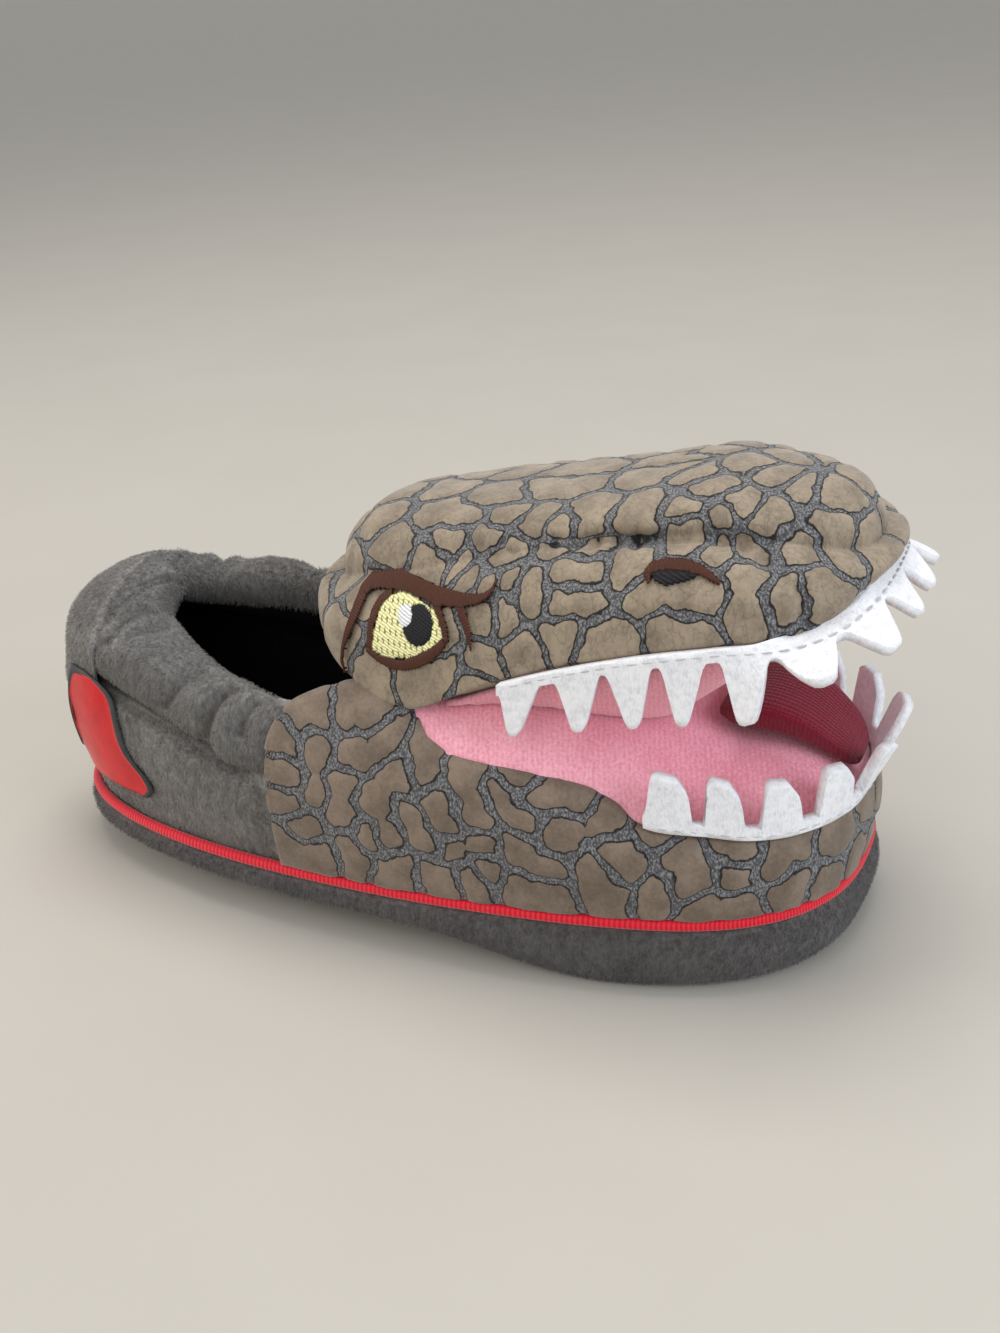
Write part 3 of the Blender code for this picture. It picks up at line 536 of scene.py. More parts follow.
class Shader:
    """A Principled material under construction, with short calls for the nodes the finishes use."""

    SHEEN_ROUGHNESS = 0.45
    SPECULAR = 0.25
    MIX_INPUTS = (0, 6, 7)  # numbers of a mix node's factor and two colours
    MIX_RESULT = 2  # number of its mixed colour

    def __init__(self, name: str, roughness: float, sheen: float = 0.0) -> None:
        """Start a material.

        Args:
            name: its name.
            roughness: of the Principled shader.
            sheen: weight of its cloth sheen.
        """
        self.material = bpy.data.materials.new(name)
        self.material.use_nodes = True
        self.tree = self.material.node_tree
        self.surface = self.tree.nodes["Principled BSDF"]
        self.feed(self.surface, {"Roughness": roughness, "Specular IOR Level": self.SPECULAR})
        self.feed(self.surface, {"Sheen Weight": sheen, "Sheen Roughness": self.SHEEN_ROUGHNESS})
        self.place = self.node("ShaderNodeTexCoord").outputs["Object"]

    def feed(self, node: bpy.types.Node, inputs: dict) -> None:
        """Set a node's inputs to values or link them to sockets."""
        for key, value in inputs.items():
            if isinstance(value, Socket):
                self.tree.links.new(value, node.inputs[key])
            else:
                node.inputs[key].default_value = value

    def node(self, kind: str, inputs: dict | None = None, **settings: object) -> bpy.types.Node:
        """Add a node, set its options and feed its inputs with values or sockets."""
        made = self.tree.nodes.new(kind)
        for key, value in settings.items():
            setattr(made, key, value)
        self.feed(made, inputs or {})
        return made

    def noise(self, size: float, detail: float = 2.0, place: Socket | None = None) -> Socket:
        """Noise from 0 to 1 with features of a size in millimetres."""
        inputs = {"Vector": place or self.place, "Scale": 1 / (size * MM), "Detail": detail}
        return self.node("ShaderNodeTexNoise", inputs).outputs["Fac"]

    def stretch(self, scale: Sequence[float], turn: Sequence[float] = (0, 0, 0)) -> Socket:
        """Object coordinates, turned by degrees and stretched."""
        inputs = {"Vector": self.place, "Scale": scale, "Rotation": [math.radians(angle) for angle in turn]}
        return self.node("ShaderNodeMapping", inputs).outputs["Vector"]

    def math(self, operation: str, *values: object) -> Socket:
        """One step of arithmetic on values or sockets."""
        return self.node("ShaderNodeMath", dict(enumerate(values)), operation=operation).outputs[0]

    def blend(self, *parts: tuple[object, float]) -> Socket:
        """A sum of values, each taken by its share."""
        total = self.math("MULTIPLY", *parts[0])
        for part in parts[1:]:
            total = self.math("MULTIPLY_ADD", *part, total)
        return total

    def inverse(self, value: object) -> Socket:
        """One less a value."""
        return self.math("SUBTRACT", 1.0, value)

    def step(self, value: object, low: float, high: float) -> Socket:
        """A smooth step from 0 at low to 1 at high."""
        inputs = {"Value": value, "From Min": low, "From Max": high}
        return self.node("ShaderNodeMapRange", inputs, interpolation_type="SMOOTHSTEP").outputs["Result"]

    def mix(self, factor: object, first: object, second: object) -> Socket:
        """A blend of two colours."""
        colours = ((*colour, 1.0) if isinstance(colour, tuple) else colour for colour in (first, second))
        inputs = dict(zip(self.MIX_INPUTS, (factor, *colours)))
        return self.node("ShaderNodeMix", inputs, data_type="RGBA").outputs[self.MIX_RESULT]

    def mark(self, name: str) -> Socket:
        """A number kept on the mesh."""
        return self.node("ShaderNodeAttribute", attribute_name=name).outputs["Fac"]

    def cloth_map(self) -> bpy.types.Node:
        """The cloth's own u and v, as a node with X and Y outputs."""
        place = self.node("ShaderNodeUVMap", uv_map=CLOTH_MAP).outputs["UV"]
        return self.node("ShaderNodeSeparateXYZ", {"Vector": place})

    def wave(self, value: object, count: float) -> Socket:
        """A sine from 0 to 1 that repeats a number of times per unit."""
        wound = self.math("MULTIPLY", value, count * math.tau)
        return self.math("MULTIPLY_ADD", self.math("SINE", wound), 0.5, 0.5)

    def finish(
        self, colour: Socket, height: Socket | None = None, depth: float = 0.1, rough: Socket | None = None
    ) -> Material:
        """Link the colour, bump and roughness, and return the material.

        Args:
            colour: socket of the base colour.
            height: socket of the bump's height, from 0 to 1.
            depth: what a height of 1 stands for, in millimetres.
            rough: socket of a roughness that varies.

        Returns:
            The finished material.
        """
        self.feed(self.surface, {"Base Color": colour})
        if rough is not None:
            self.feed(self.surface, {"Roughness": rough})
        if height is not None:
            bump = self.node("ShaderNodeBump", {"Height": height, "Strength": 1.0, "Distance": depth * MM})
            self.feed(self.surface, {"Normal": bump.outputs["Normal"]})
        return self.material


@dataclass(frozen=True)
class Finish:
    """What every cloth finish has: a name, a dark tone and a light one."""

    name: str
    dark: Colour
    light: Colour


@dataclass(frozen=True)
class PlushFinish(Finish):
    """Short brushed pile: paler where the nap lies the other way, with painted shade where the crease under
    the collar roll is marked.
    """

    sheen: float = 0.35
    nap: float = 15.0
    tuft: float = 1.5
    fibre: float = 0.6
    comb: Spot = (0, 25, 0)
    contrast: Pair = (0.34, 0.66)
    # how far the painted shade in the crease darkens the pile, as a share of its dark tone
    seam_shade: float = 0.12
    depth: float = 0.42

    def material(self) -> Material:
        """Make the material."""
        shader = Shader(self.name, roughness=0.95, sheen=self.sheen)
        brushed = shader.noise(self.nap, 2.0)
        tufts = shader.noise(self.tuft, 2.0, shader.stretch((1, 1, 0.45), self.comb))
        pile = shader.noise(self.fibre, 3.0, shader.stretch((1, 1, 0.5), self.comb))
        tone = shader.blend((brushed, 0.2), (tufts, 0.4), (pile, 0.4))
        colour = shader.mix(shader.step(tone, *self.contrast), self.dark, self.light)
        # painted shade: the pile darkens in the marked crease under the collar roll
        colour = shader.mix(shader.mark("crease"), colour, tuple(self.seam_shade * c for c in self.dark))
        return shader.finish(colour, shader.blend((pile, 0.7), (tufts, 0.8)), self.depth)


@dataclass(frozen=True)
class ScaleFinish(Finish):
    """Matt film scales with a painted shadow line at each one's edge, on fuzzy cloth that shows in the
    channels between them.
    """

    fuzz_dark: Colour = (0.066, 0.066, 0.068)
    fuzz_light: Colour = (0.260, 0.258, 0.262)
    # colour of the painted shadow line round each film, and of the cracks in the film
    outline: Colour = (0.018, 0.016, 0.015)
    channel: float = 0.82
    soft_edge: float = 0.16
    outline_width: float = 0.42
    fray: float = 1.3
    crackle: float = 0.12
    crack_width: float = 0.03
    depth: float = 0.45

    def material(self) -> Material:
        """Make the material."""
        shader = Shader(self.name, roughness=0.9, sheen=0.25)
        ragged = shader.math("MULTIPLY_ADD", shader.noise(2.2, 4.0), self.fray, -self.fray / 2)
        edge = shader.math("ADD", shader.mark("edge"), ragged)
        film = shader.step(edge, self.channel, self.channel + self.soft_edge)
        # the band of channel next to each film takes the painted shadow line
        inner = shader.step(edge, self.channel - self.outline_width, self.channel - self.soft_edge)
        fuzz = shader.noise(0.42, 2.0, shader.stretch((1.0, 1.0, 0.6)))
        cloth = shader.mix(shader.step(fuzz, 0.38, 0.72), self.fuzz_dark, self.fuzz_light)
        mottle = shader.blend((shader.noise(0.8), 0.3), (shader.noise(7.0, 3.0), 0.7))
        face = shader.mix(shader.step(mottle, 0.32, 0.7), self.dark, self.light)
        grain = shader.noise(2.6, 4.0, shader.stretch((1, 1, 0.4)))
        ridge = shader.math("ABSOLUTE", shader.math("SUBTRACT", grain, 0.5))
        split = shader.inverse(shader.step(ridge, 0.0, self.crack_width))
        crack = shader.math("MULTIPLY", split, self.crackle)
        face = shader.mix(crack, face, self.outline)
        colour = shader.mix(film, shader.mix(inner, cloth, self.outline), face)
        bare = shader.math("MULTIPLY", shader.inverse(film), fuzz)
        height = shader.blend((bare, 1.0), (film, 0.5), (crack, -0.35))
        rough = shader.math("MULTIPLY_ADD", film, -0.38, 0.95)
        return shader.finish(colour, height, self.depth, rough)


@dataclass(frozen=True)
class KnitFinish(Finish):
    """Fleece with fine brushed wales along the slipper."""

    pitch: float = 1.15
    drift: float = 1.3
    slant: float = 0.35
    sheen: float = 0.4
    depth: float = 0.3

    def material(self) -> Material:
        """Make the material."""
        shader = Shader(self.name, roughness=0.95, sheen=self.sheen)
        place = shader.node("ShaderNodeSeparateXYZ", {"Vector": shader.place}).outputs
        drift = shader.math("MULTIPLY", shader.noise(2.5), self.drift * self.pitch * MM)
        slant = shader.math("MULTIPLY_ADD", place["Y"], self.slant, place["X"])
        wale = shader.wave(shader.math("ADD", slant, drift), 1 / (self.pitch * MM))
        tone = shader.blend((shader.noise(0.7, 3.0), 0.87), (wale, 0.13))
        wide = shader.blend((tone, 0.6), (shader.noise(18.0), 0.4))
        colour = shader.mix(shader.step(wide, 0.3, 0.7), self.dark, self.light)
        return shader.finish(colour, tone, self.depth)


@dataclass(frozen=True)
class RibFinish(Finish):
    """Knitted cloth with ribs along the piece and finer stitches across it."""

    ribs: float
    stitches: float
    lean: float = 0.4
    depth: float = 0.3

    def material(self) -> Material:
        """Make the material."""
        shader = Shader(self.name, roughness=0.85, sheen=0.2)
        cloth = shader.cloth_map().outputs
        rib = shader.wave(cloth["Y"], self.ribs)
        leaning = shader.math("MULTIPLY_ADD", rib, self.lean / self.stitches, cloth["X"])
        stitch = shader.wave(leaning, self.stitches)
        tone = shader.blend((rib, 0.3), (stitch, 0.2), (shader.noise(0.6, 2.0), 0.5))
        colour = shader.mix(shader.step(tone, 0.2, 0.8), self.dark, self.light)
        return shader.finish(colour, tone, self.depth)


@dataclass(frozen=True)
class FeltFinish(Finish):
    """Matted felt with faint grey fibres and soiling."""

    lay: Spot = (0, 35, 20)
    depth: float = 0.3

    def material(self) -> Material:
        """Make the material."""
        shader = Shader(self.name, roughness=0.95, sheen=0.3)
        mats = shader.noise(1.6, 4.0)
        fibres = shader.noise(0.35, 3.0, shader.stretch((1, 1, 0.3), self.lay))
        tone = shader.blend((fibres, 0.5), (mats, 0.6))
        colour = shader.mix(shader.step(tone, 0.28, 0.66), self.dark, self.light)
        return shader.finish(colour, tone, self.depth)


@dataclass(frozen=True)
class CordFinish(Finish):
    """Woven piping with slanted threads."""

    threads: float
    slant: float
    depth: float = 0.14

    def material(self) -> Material:
        """Make the material."""
        shader = Shader(self.name, roughness=0.6, sheen=0.3)
        cloth = shader.cloth_map().outputs
        lean = shader.math("MULTIPLY", cloth["Y"], self.slant / self.threads)
        twist = shader.wave(shader.math("ADD", cloth["X"], lean), self.threads)
        cross = shader.wave(shader.math("SUBTRACT", cloth["X"], lean), self.threads)
        tone = shader.blend((cross, 0.35), (twist, 0.65), (shader.noise(0.5), 0.5))
        colour = shader.mix(shader.step(tone, 0.1, 1.2), self.dark, self.light)
        return shader.finish(colour, tone, self.depth)


@dataclass(frozen=True)
class StitchFinish:
    """Satin stitched thread in the colours kept on the mesh."""

    name: str
    gaps: Colour = (0.005, 0.003, 0.003)
    pitch: float = 0.5
    drift: float = 0.5
    shade: float = 0.4
    depth: float = 0.16

    def material(self) -> Material:
        """Make the material."""
        shader = Shader(self.name, roughness=0.6)
        thread = shader.node("ShaderNodeAttribute", attribute_name="thread").outputs["Color"]
        drift = shader.math("MULTIPLY", shader.noise(1.5), self.drift)
        strand = shader.wave(shader.math("ADD", shader.mark("stitch"), drift), 1 / self.pitch)
        shade = shader.math("MULTIPLY", shader.inverse(shader.step(strand, 0.0, 0.4)), self.shade)
        return shader.finish(shader.mix(shade, thread, self.gaps), strand, self.depth)


@dataclass(frozen=True)
class PatchFinish(Finish):
    """Soft moulded rubber or thread with a faint grain and a cloudy tone."""

    roughness: float
    depth: float = 0.08

    def material(self) -> Material:
        """Make the material."""
        shader = Shader(self.name, roughness=self.roughness)
        grain = shader.noise(0.6, 3.0)
        cloud = shader.blend((grain, 0.3), (shader.noise(9.0, 3.0), 0.7))
        colour = shader.mix(shader.step(cloud, 0.3, 0.7), self.dark, self.light)
        return shader.finish(colour, grain, self.depth)


@dataclass(frozen=True)
class GripFinish(Finish):
    """Underside cloth in the dark tone, with small rubber dots in the light one."""

    pitch: float = 4.5
    worn: float = 1.5
    depth: float = 0.4

    def material(self) -> Material:
        """Make the material."""
        shader = Shader(self.name, roughness=0.85)
        inputs = {"Vector": shader.stretch((1, 1, 0)), "Scale": 1 / (self.pitch * MM), "Randomness": 0.0}
        spots = shader.node("ShaderNodeTexVoronoi", inputs).outputs["Distance"]
        dot = shader.inverse(shader.step(spots, 0.2, 0.3))
        weave = shader.noise(0.6, 2.0)
        cloth = shader.mix(shader.step(weave, 0.3, 0.7), self.dark, tuple(self.worn * c for c in self.dark))
        height = shader.math("MULTIPLY_ADD", weave, 0.3, dot)
        return shader.finish(shader.mix(dot, cloth, self.light), height, self.depth)


def mirrored(line: Sequence[Spot], middle: Curve) -> tuple[Spot, ...]:
    """A line on the other side of the slipper's middle."""
    return tuple((x, 2 * float(middle(np.array(x))) - y, z) for x, y, z in line)


@dataclass(frozen=True)
class ScaleChart:
    """Scales as cells round seeds read off the slipper; the seeds of one scale share a number."""

    scales: tuple[tuple[Spot, ...], ...]
    spacing: float
    one_sided: float = 4.0
    seed: int = 11
    thinned: int = 7
    batch: int = 8000
    warp: float = 1.6
    warp_size: float = 8.0
    fine_warp: float = 0.7
    fine_size: float = 2.6
    corner: float = 0.5

    def seeds(self, points: Array, middle: Curve) -> tuple[Array, Array]:
        """The charted seeds, their mirror images, and more where a skin has none.

        Args:
            points: places of the skin.
            middle: gives the middle line's y at x.

        Returns:
            The seeds' places and the number of the scale that each belongs to.
        """
        places, owners = [], []
        for scale in self.scales:
            sides = [scale]
            if abs(scale[0][1] - float(middle(np.array(scale[0][0])))) > self.one_sided:
                sides.append(mirrored(scale, middle))
            for seeds in sides:
                owners += [len(owners)] * len(seeds)
                places += seeds
        found = np.array(places)
        order = np.random.default_rng(self.seed).permutation(len(points))
        for point in points[order[:: self.thinned]]:
            if ((found - point) ** 2).sum(1).min() > self.spacing**2:
                found = np.vstack([found, point])
                owners.append(len(owners))
        return found, np.array(owners)

    def edges(self, points: Array, middle: Curve) -> Array:
        """Distance from each point to the middle of the nearest channel between scales."""
        seeds, owners = self.seeds(points, middle)
        apart = np.linalg.norm(seeds[:, None] - seeds[None], axis=-1) + TINY
        bent = points + noise_shift(points, self.warp_size) * self.warp
        bent += noise_shift(points, self.fine_size) * self.fine_warp
        result = np.empty(len(points))
        for start in range(0, len(points), self.batch):
            part = slice(start, start + self.batch)
            square = ((bent[part, None] - seeds[None]) ** 2).sum(-1)
            own = square.argmin(1)
            reach = (square - square.min(1)[:, None]) / (2 * apart[own])
            reach[owners[own][:, None] == owners[None]] = FAR
            least = reach.min(1)
            crowd = np.exp((least[:, None] - reach) / self.corner).sum(1)
            result[part] = least - self.corner * np.log(crowd)
        return result


@dataclass(frozen=True)
class Fold:
    """A soft trough along a line; a negative depth makes a ridge."""

    line: tuple[tuple[float, ...], ...]
    depth: float
    width: float
    power: float = 1.5

    def distance(self, points: Array) -> Array:
        """Distance from each point to the fold's line."""
        nearest = np.full(len(points), FAR)
        for start, end in zip(self.line, self.line[1:]):
            a, b = np.array(start, dtype=float), np.array(end, dtype=float)
            t = np.clip(((points - a) @ (b - a)) / ((b - a) @ (b - a)), 0, 1)
            nearest = np.minimum(nearest, np.linalg.norm(points - a - t[:, None] * (b - a), axis=1))
        return nearest

    def relief(self, points: Array) -> Array:
        """How far each point is raised by the fold."""
        return -self.depth * np.exp(-((self.distance(points) / self.width) ** self.power))


JAW_SCALES = (
    ((-19, -42, 50),), ((-15, -39, 55), (-10, -39, 56)), ((-11, -42, 50), (-11, -45, 40)),
    ((-19, -44, 42),), ((-18, -45, 36),), ((-3, -45, 43), (-4, -46, 36)), ((-1, -42, 51), (7, -41, 55)),
    ((12, -44, 48), (5, -46, 40), (8, -46, 32)), ((16, -42, 53), (17, -43, 50)),
    ((27, -43, 49), (31, -45, 42)), ((20, -45, 43), (23, -46, 38)), ((14, -46, 38), (17, -47, 33)),
    ((3, -46, 31),), ((-14, -45, 30),), ((-18, -44, 22), (-11, -45, 24)), ((-4, -46, 26), (-1, -45, 22)),
    ((24, -47, 32), (31, -46, 34)), ((39, -46, 36), (45, -46, 31)), ((44, -42, 47), (52, -40, 47)),
    ((37, -44, 45), (41, -45, 42)), ((49, -44, 39), (58, -40, 43)), ((56, -44, 31), (59, -44, 28)),
    ((62, -42, 36), (63, -42, 33)), ((17, -46, 24), (23, -46, 25)), ((32, -46, 28),), ((27, -46, 25),),
    ((39, -46, 25), (45, -45, 25)), ((5, -45, 21), (11, -46, 24)), ((40, -41, 50),),
    ((-4, -38, 58), (3, -38, 59)), ((68, -38, 41),), ((74, -39, 34), (76, -39, 29)), ((69, -41, 28),),
    ((85, -33, 36),), ((85, -34, 30),), ((93, -27, 34), (92, -30, 31)), ((94, -28, 25),), ((102, -16, 31),),
    ((101, -19, 23),), ((79, -38, 23), (85, -34, 22)),
)
HEAD_SCALES = (
    ((14, -24, 90),), ((22, -25, 91),), ((30, -25, 92), (33, -24, 94)), ((25, -27, 90),), ((30, -29, 89),),
    ((35, -29, 90),), ((43, -24, 96), (51, -23, 97)), ((46, -29, 93), (53, -29, 93)),
    ((40, -30, 91), (41, -33, 88)), ((48, -34, 88), (53, -33, 90)), ((35, -35, 84),), ((31, -35, 83),),
    ((40, -37, 78),), ((47, -36, 82), (49, -36, 84)), ((57, -36, 81), (62, -36, 83)),
    ((60, -26, 97), (60, -29, 95)), ((65, -33, 90), (74, -31, 93), (78, -31, 92)),
    ((70, -35, 84), (76, -34, 84)), ((85, -27, 95), (85, -30, 89)), ((92, -26, 92),), ((79, -23, 99),),
    ((-12, -15, 83),), ((-8, -30, 72),), ((3, -35, 67),), ((15, -37, 68), (22, -37, 72)), ((20, -35, 77),),
    ((31, -37, 75),), ((28, -38, 68),), ((2, -20, 92),), ((17, -22, 94),), ((26, -22, 96),),
    ((-4, -12, 95),), ((11, -13, 98), (18, -15, 99)), ((22, -8, 100), (26, -8, 101)), ((37, -19, 100),),
    ((29, -16, 100),), ((43, -21, 99),), ((49, -15, 103), (50, -22, 100)), ((33, -4, 102), (41, -4, 103)),
    ((59, -16, 104), (59, -21, 102)), ((57, -3, 106), (64, 0, 108)), ((73, -11, 108),), ((71, -18, 105),),
    ((76, -19, 104),), ((81, -15, 106),), ((86, -15, 104), (86, -18, 102)), ((85, -3, 108),),
    ((91, -6, 107),), ((78, 0, 109),), ((93, -17, 98),), ((98, -10, 102), (99, -11, 97)), ((97, -5, 105),),
    ((68, 10, 108),), ((104, -5, 95),), ((72, -21, 102),), ((84, -20, 99),), ((98, -22, 91),),
)
CROWN_SEAM = (
    (-12, -18, 82), (4, -21, 88.7), (15, -22, 91.8), (25, -22, 94), (39, -21.6, 96.8), (52.5, -22, 98.6),
    (61, -22, 99.5), (73.4, -20, 100.6), (82.6, -20, 98.6), (88, -22, 96), (92.7, -24, 92), (94.8, -24, 87),
)


FINISHES = (
    PlushFinish("grey_plush", (0.128, 0.121, 0.112), (0.264, 0.250, 0.230)),
    PlushFinish("collar_plush", (0.108, 0.103, 0.097), (0.222, 0.212, 0.199)),
    # a darker copy of the grey plush: painted shade on the sole's side
    PlushFinish("shaded_sole_plush", (0.066, 0.062, 0.060), (0.142, 0.134, 0.128)),
    # near-black lining fleece, far darker than dyed cloth: the lining's own black and painted shade inside
    # the slipper
    PlushFinish("black_fleece", (0.0010, 0.0010, 0.0012), (0.0035, 0.0035, 0.004), sheen=0.0),
    ScaleFinish("jaw_scales", (0.134, 0.099, 0.071), (0.232, 0.176, 0.130), channel=1.05),
    ScaleFinish("head_scales", (0.190, 0.148, 0.102), (0.330, 0.264, 0.186), crackle=0.25),
    KnitFinish("pink_fleece", (0.76, 0.27, 0.34), (0.96, 0.48, 0.56)),
    RibFinish("tongue_cord", (0.110, 0.003, 0.012), (0.265, 0.008, 0.031), ribs=62, stitches=34),
    FeltFinish("white_felt", (0.62, 0.62, 0.65), (0.83, 0.83, 0.84)),
    CordFinish("piping_red", (0.46, 0.003, 0.012), (0.85, 0.014, 0.036), threads=560, slant=1.0),
    StitchFinish("satin_stitch"),
    PatchFinish("seam_thread", (0.42, 0.42, 0.44), (0.62, 0.62, 0.64), roughness=0.7),
    PatchFinish("patch_red", (0.46, 0.004, 0.008), (0.66, 0.010, 0.014), roughness=0.28),
    PatchFinish("patch_rim", (0.030, 0.030, 0.032), (0.075, 0.074, 0.075), roughness=0.6),
    GripFinish("sole_grip", (0.06, 0.06, 0.063), (0.11, 0.11, 0.115)),
)
Wardrobe = dict[str, Material]  # the made finishes by their names


@dataclass(frozen=True)
class Sole:
    """The sole's plush side and its dotted underside."""

    form: SoleForm
    columns: int = 420
    rows: int = 48
    flat: float = 0.25
    underside: float = 0.93
    upright: Pair = (0.3, 0.8)
    inset: Profile = Profile(*enumerate((8.0, 3.4, 1.0, 0.0, 0.5, 1.8, 3.4)))
    height: Profile = Profile(*enumerate((0.0, 0.05, 0.27, 0.52, 0.76, 0.94, 1.0)))
    rear_inset: Profile = Profile(*enumerate((20.0, 12.0, 5.0, 1.0, 0.2, 1.5, 3.4)))
    rear_height: Profile = Profile(*enumerate((0.0, 0.20, 0.46, 0.62, 0.78, 0.93, 1.0)))
    rear_from: float = 60.0
    rear_full: float = -10.0
    lump: float = 0.45
    lump_size: float = 13.0

    def place(self, u: Array, v: Array) -> Array:
        """Points from the underside's middle line, out, up the side and in to the top's middle line."""
        side = np.clip((v - self.flat) / (1 - 2 * self.flat), 0, 1) * self.inset.xs[-1]
        front = ease(self.rear_full, self.rear_from, self.form.outline(u * math.tau, 0.0)[..., 0])
        inset = self.inset(side) * front + self.rear_inset(side) * (1 - front)
        height = self.height(side) * front + self.rear_height(side) * (1 - front)
        edge = self.form.outline(u * math.tau, inset)
        inwards = np.maximum(1 - v / self.flat, (v - 1) / self.flat + 1).clip(0, 1)
        point = edge + (self.form.on_spine(edge[..., 0]) - edge) * inwards[..., None]
        low, top = self.form.low(point[..., 0]), self.form.top(point[..., 0])
        point[..., 2] = low + (top - low) * height
        return point

    def build(self, finishes: Wardrobe) -> None:
        """Make the sole."""
        bm = close_up(bent_grid(self.columns, self.rows, self.place))
        for face in bm.faces:
            face.material_index = int(face.normal.z < -self.underside)
        # the side takes the darker sole plush, painted shade, and the underside takes the grip
        piece = Piece("plush_sole", bm, finishes["shaded_sole_plush"], finishes["sole_grip"])
        points, normals = piece.points(), piece.normals()
        on_side = 1 - ease(*self.upright, np.abs(normals[:, 2]))
        piece.raise_skin(on_side * soft_noise(points, self.lump_size) * self.lump)
        piece.declare("grey_plush", "sole").object


@dataclass(frozen=True)
class Insole:
    """The fleece foot bed."""

    form: SoleForm
    inset: float = 7.4
    thickness: float = 3.0
    edge: Pair = (0.45, 0.55)
    columns: int = 140
    rows: int = 20

    def place(self, u: Array, v: Array) -> Array:
        """Points from the underside's middle line round the edge to the top's middle line."""
        edge = self.form.outline(u * math.tau, self.inset)
        inwards = np.abs(2 * v - 1)
        point = edge + (self.form.on_spine(edge[..., 0]) - edge) * inwards[..., None]
        point[..., 2] = self.form.top(point[..., 0]) + GAP + self.thickness * ease(*self.edge, v)
        return point

    def build(self, finishes: Wardrobe) -> None:
        """Make the foot bed."""
        bm = close_up(bent_grid(self.columns, self.rows, self.place))
        # the foot bed takes the near-black fleece: painted shade inside the slipper
        piece = Piece("fleece_insole", bm, finishes["black_fleece"])
        piece.declare("black_fleece", "insole").object


@dataclass(frozen=True)
class Piping:
    """The red cord in the seam above the sole."""

    upper: UpperForm
    inset: float = 1.9
    rise: float = 1.25
    radius: float = 1.4
    columns: int = 700
    rows: int = 12

    def place(self, u: Array, v: Array) -> Array:
        """Points of the tube."""
        turn, around = u * math.tau, v * math.tau
        middle = self.upper.sole.outline(turn, self.inset)
        middle[..., 2] = self.upper.sole.top(middle[..., 0]) + self.rise
        out = self.upper.outward(turn) * np.cos(around)[..., None]
        return middle + self.radius * (out + UP * np.sin(around)[..., None])

    def build(self, finishes: Wardrobe) -> None:
        """Make the cord."""
        bm = close_up(bent_grid(self.columns, self.rows, self.place))
        Piece("piping_cord", bm, finishes["piping_red"]).declare("piping_red", "piping")


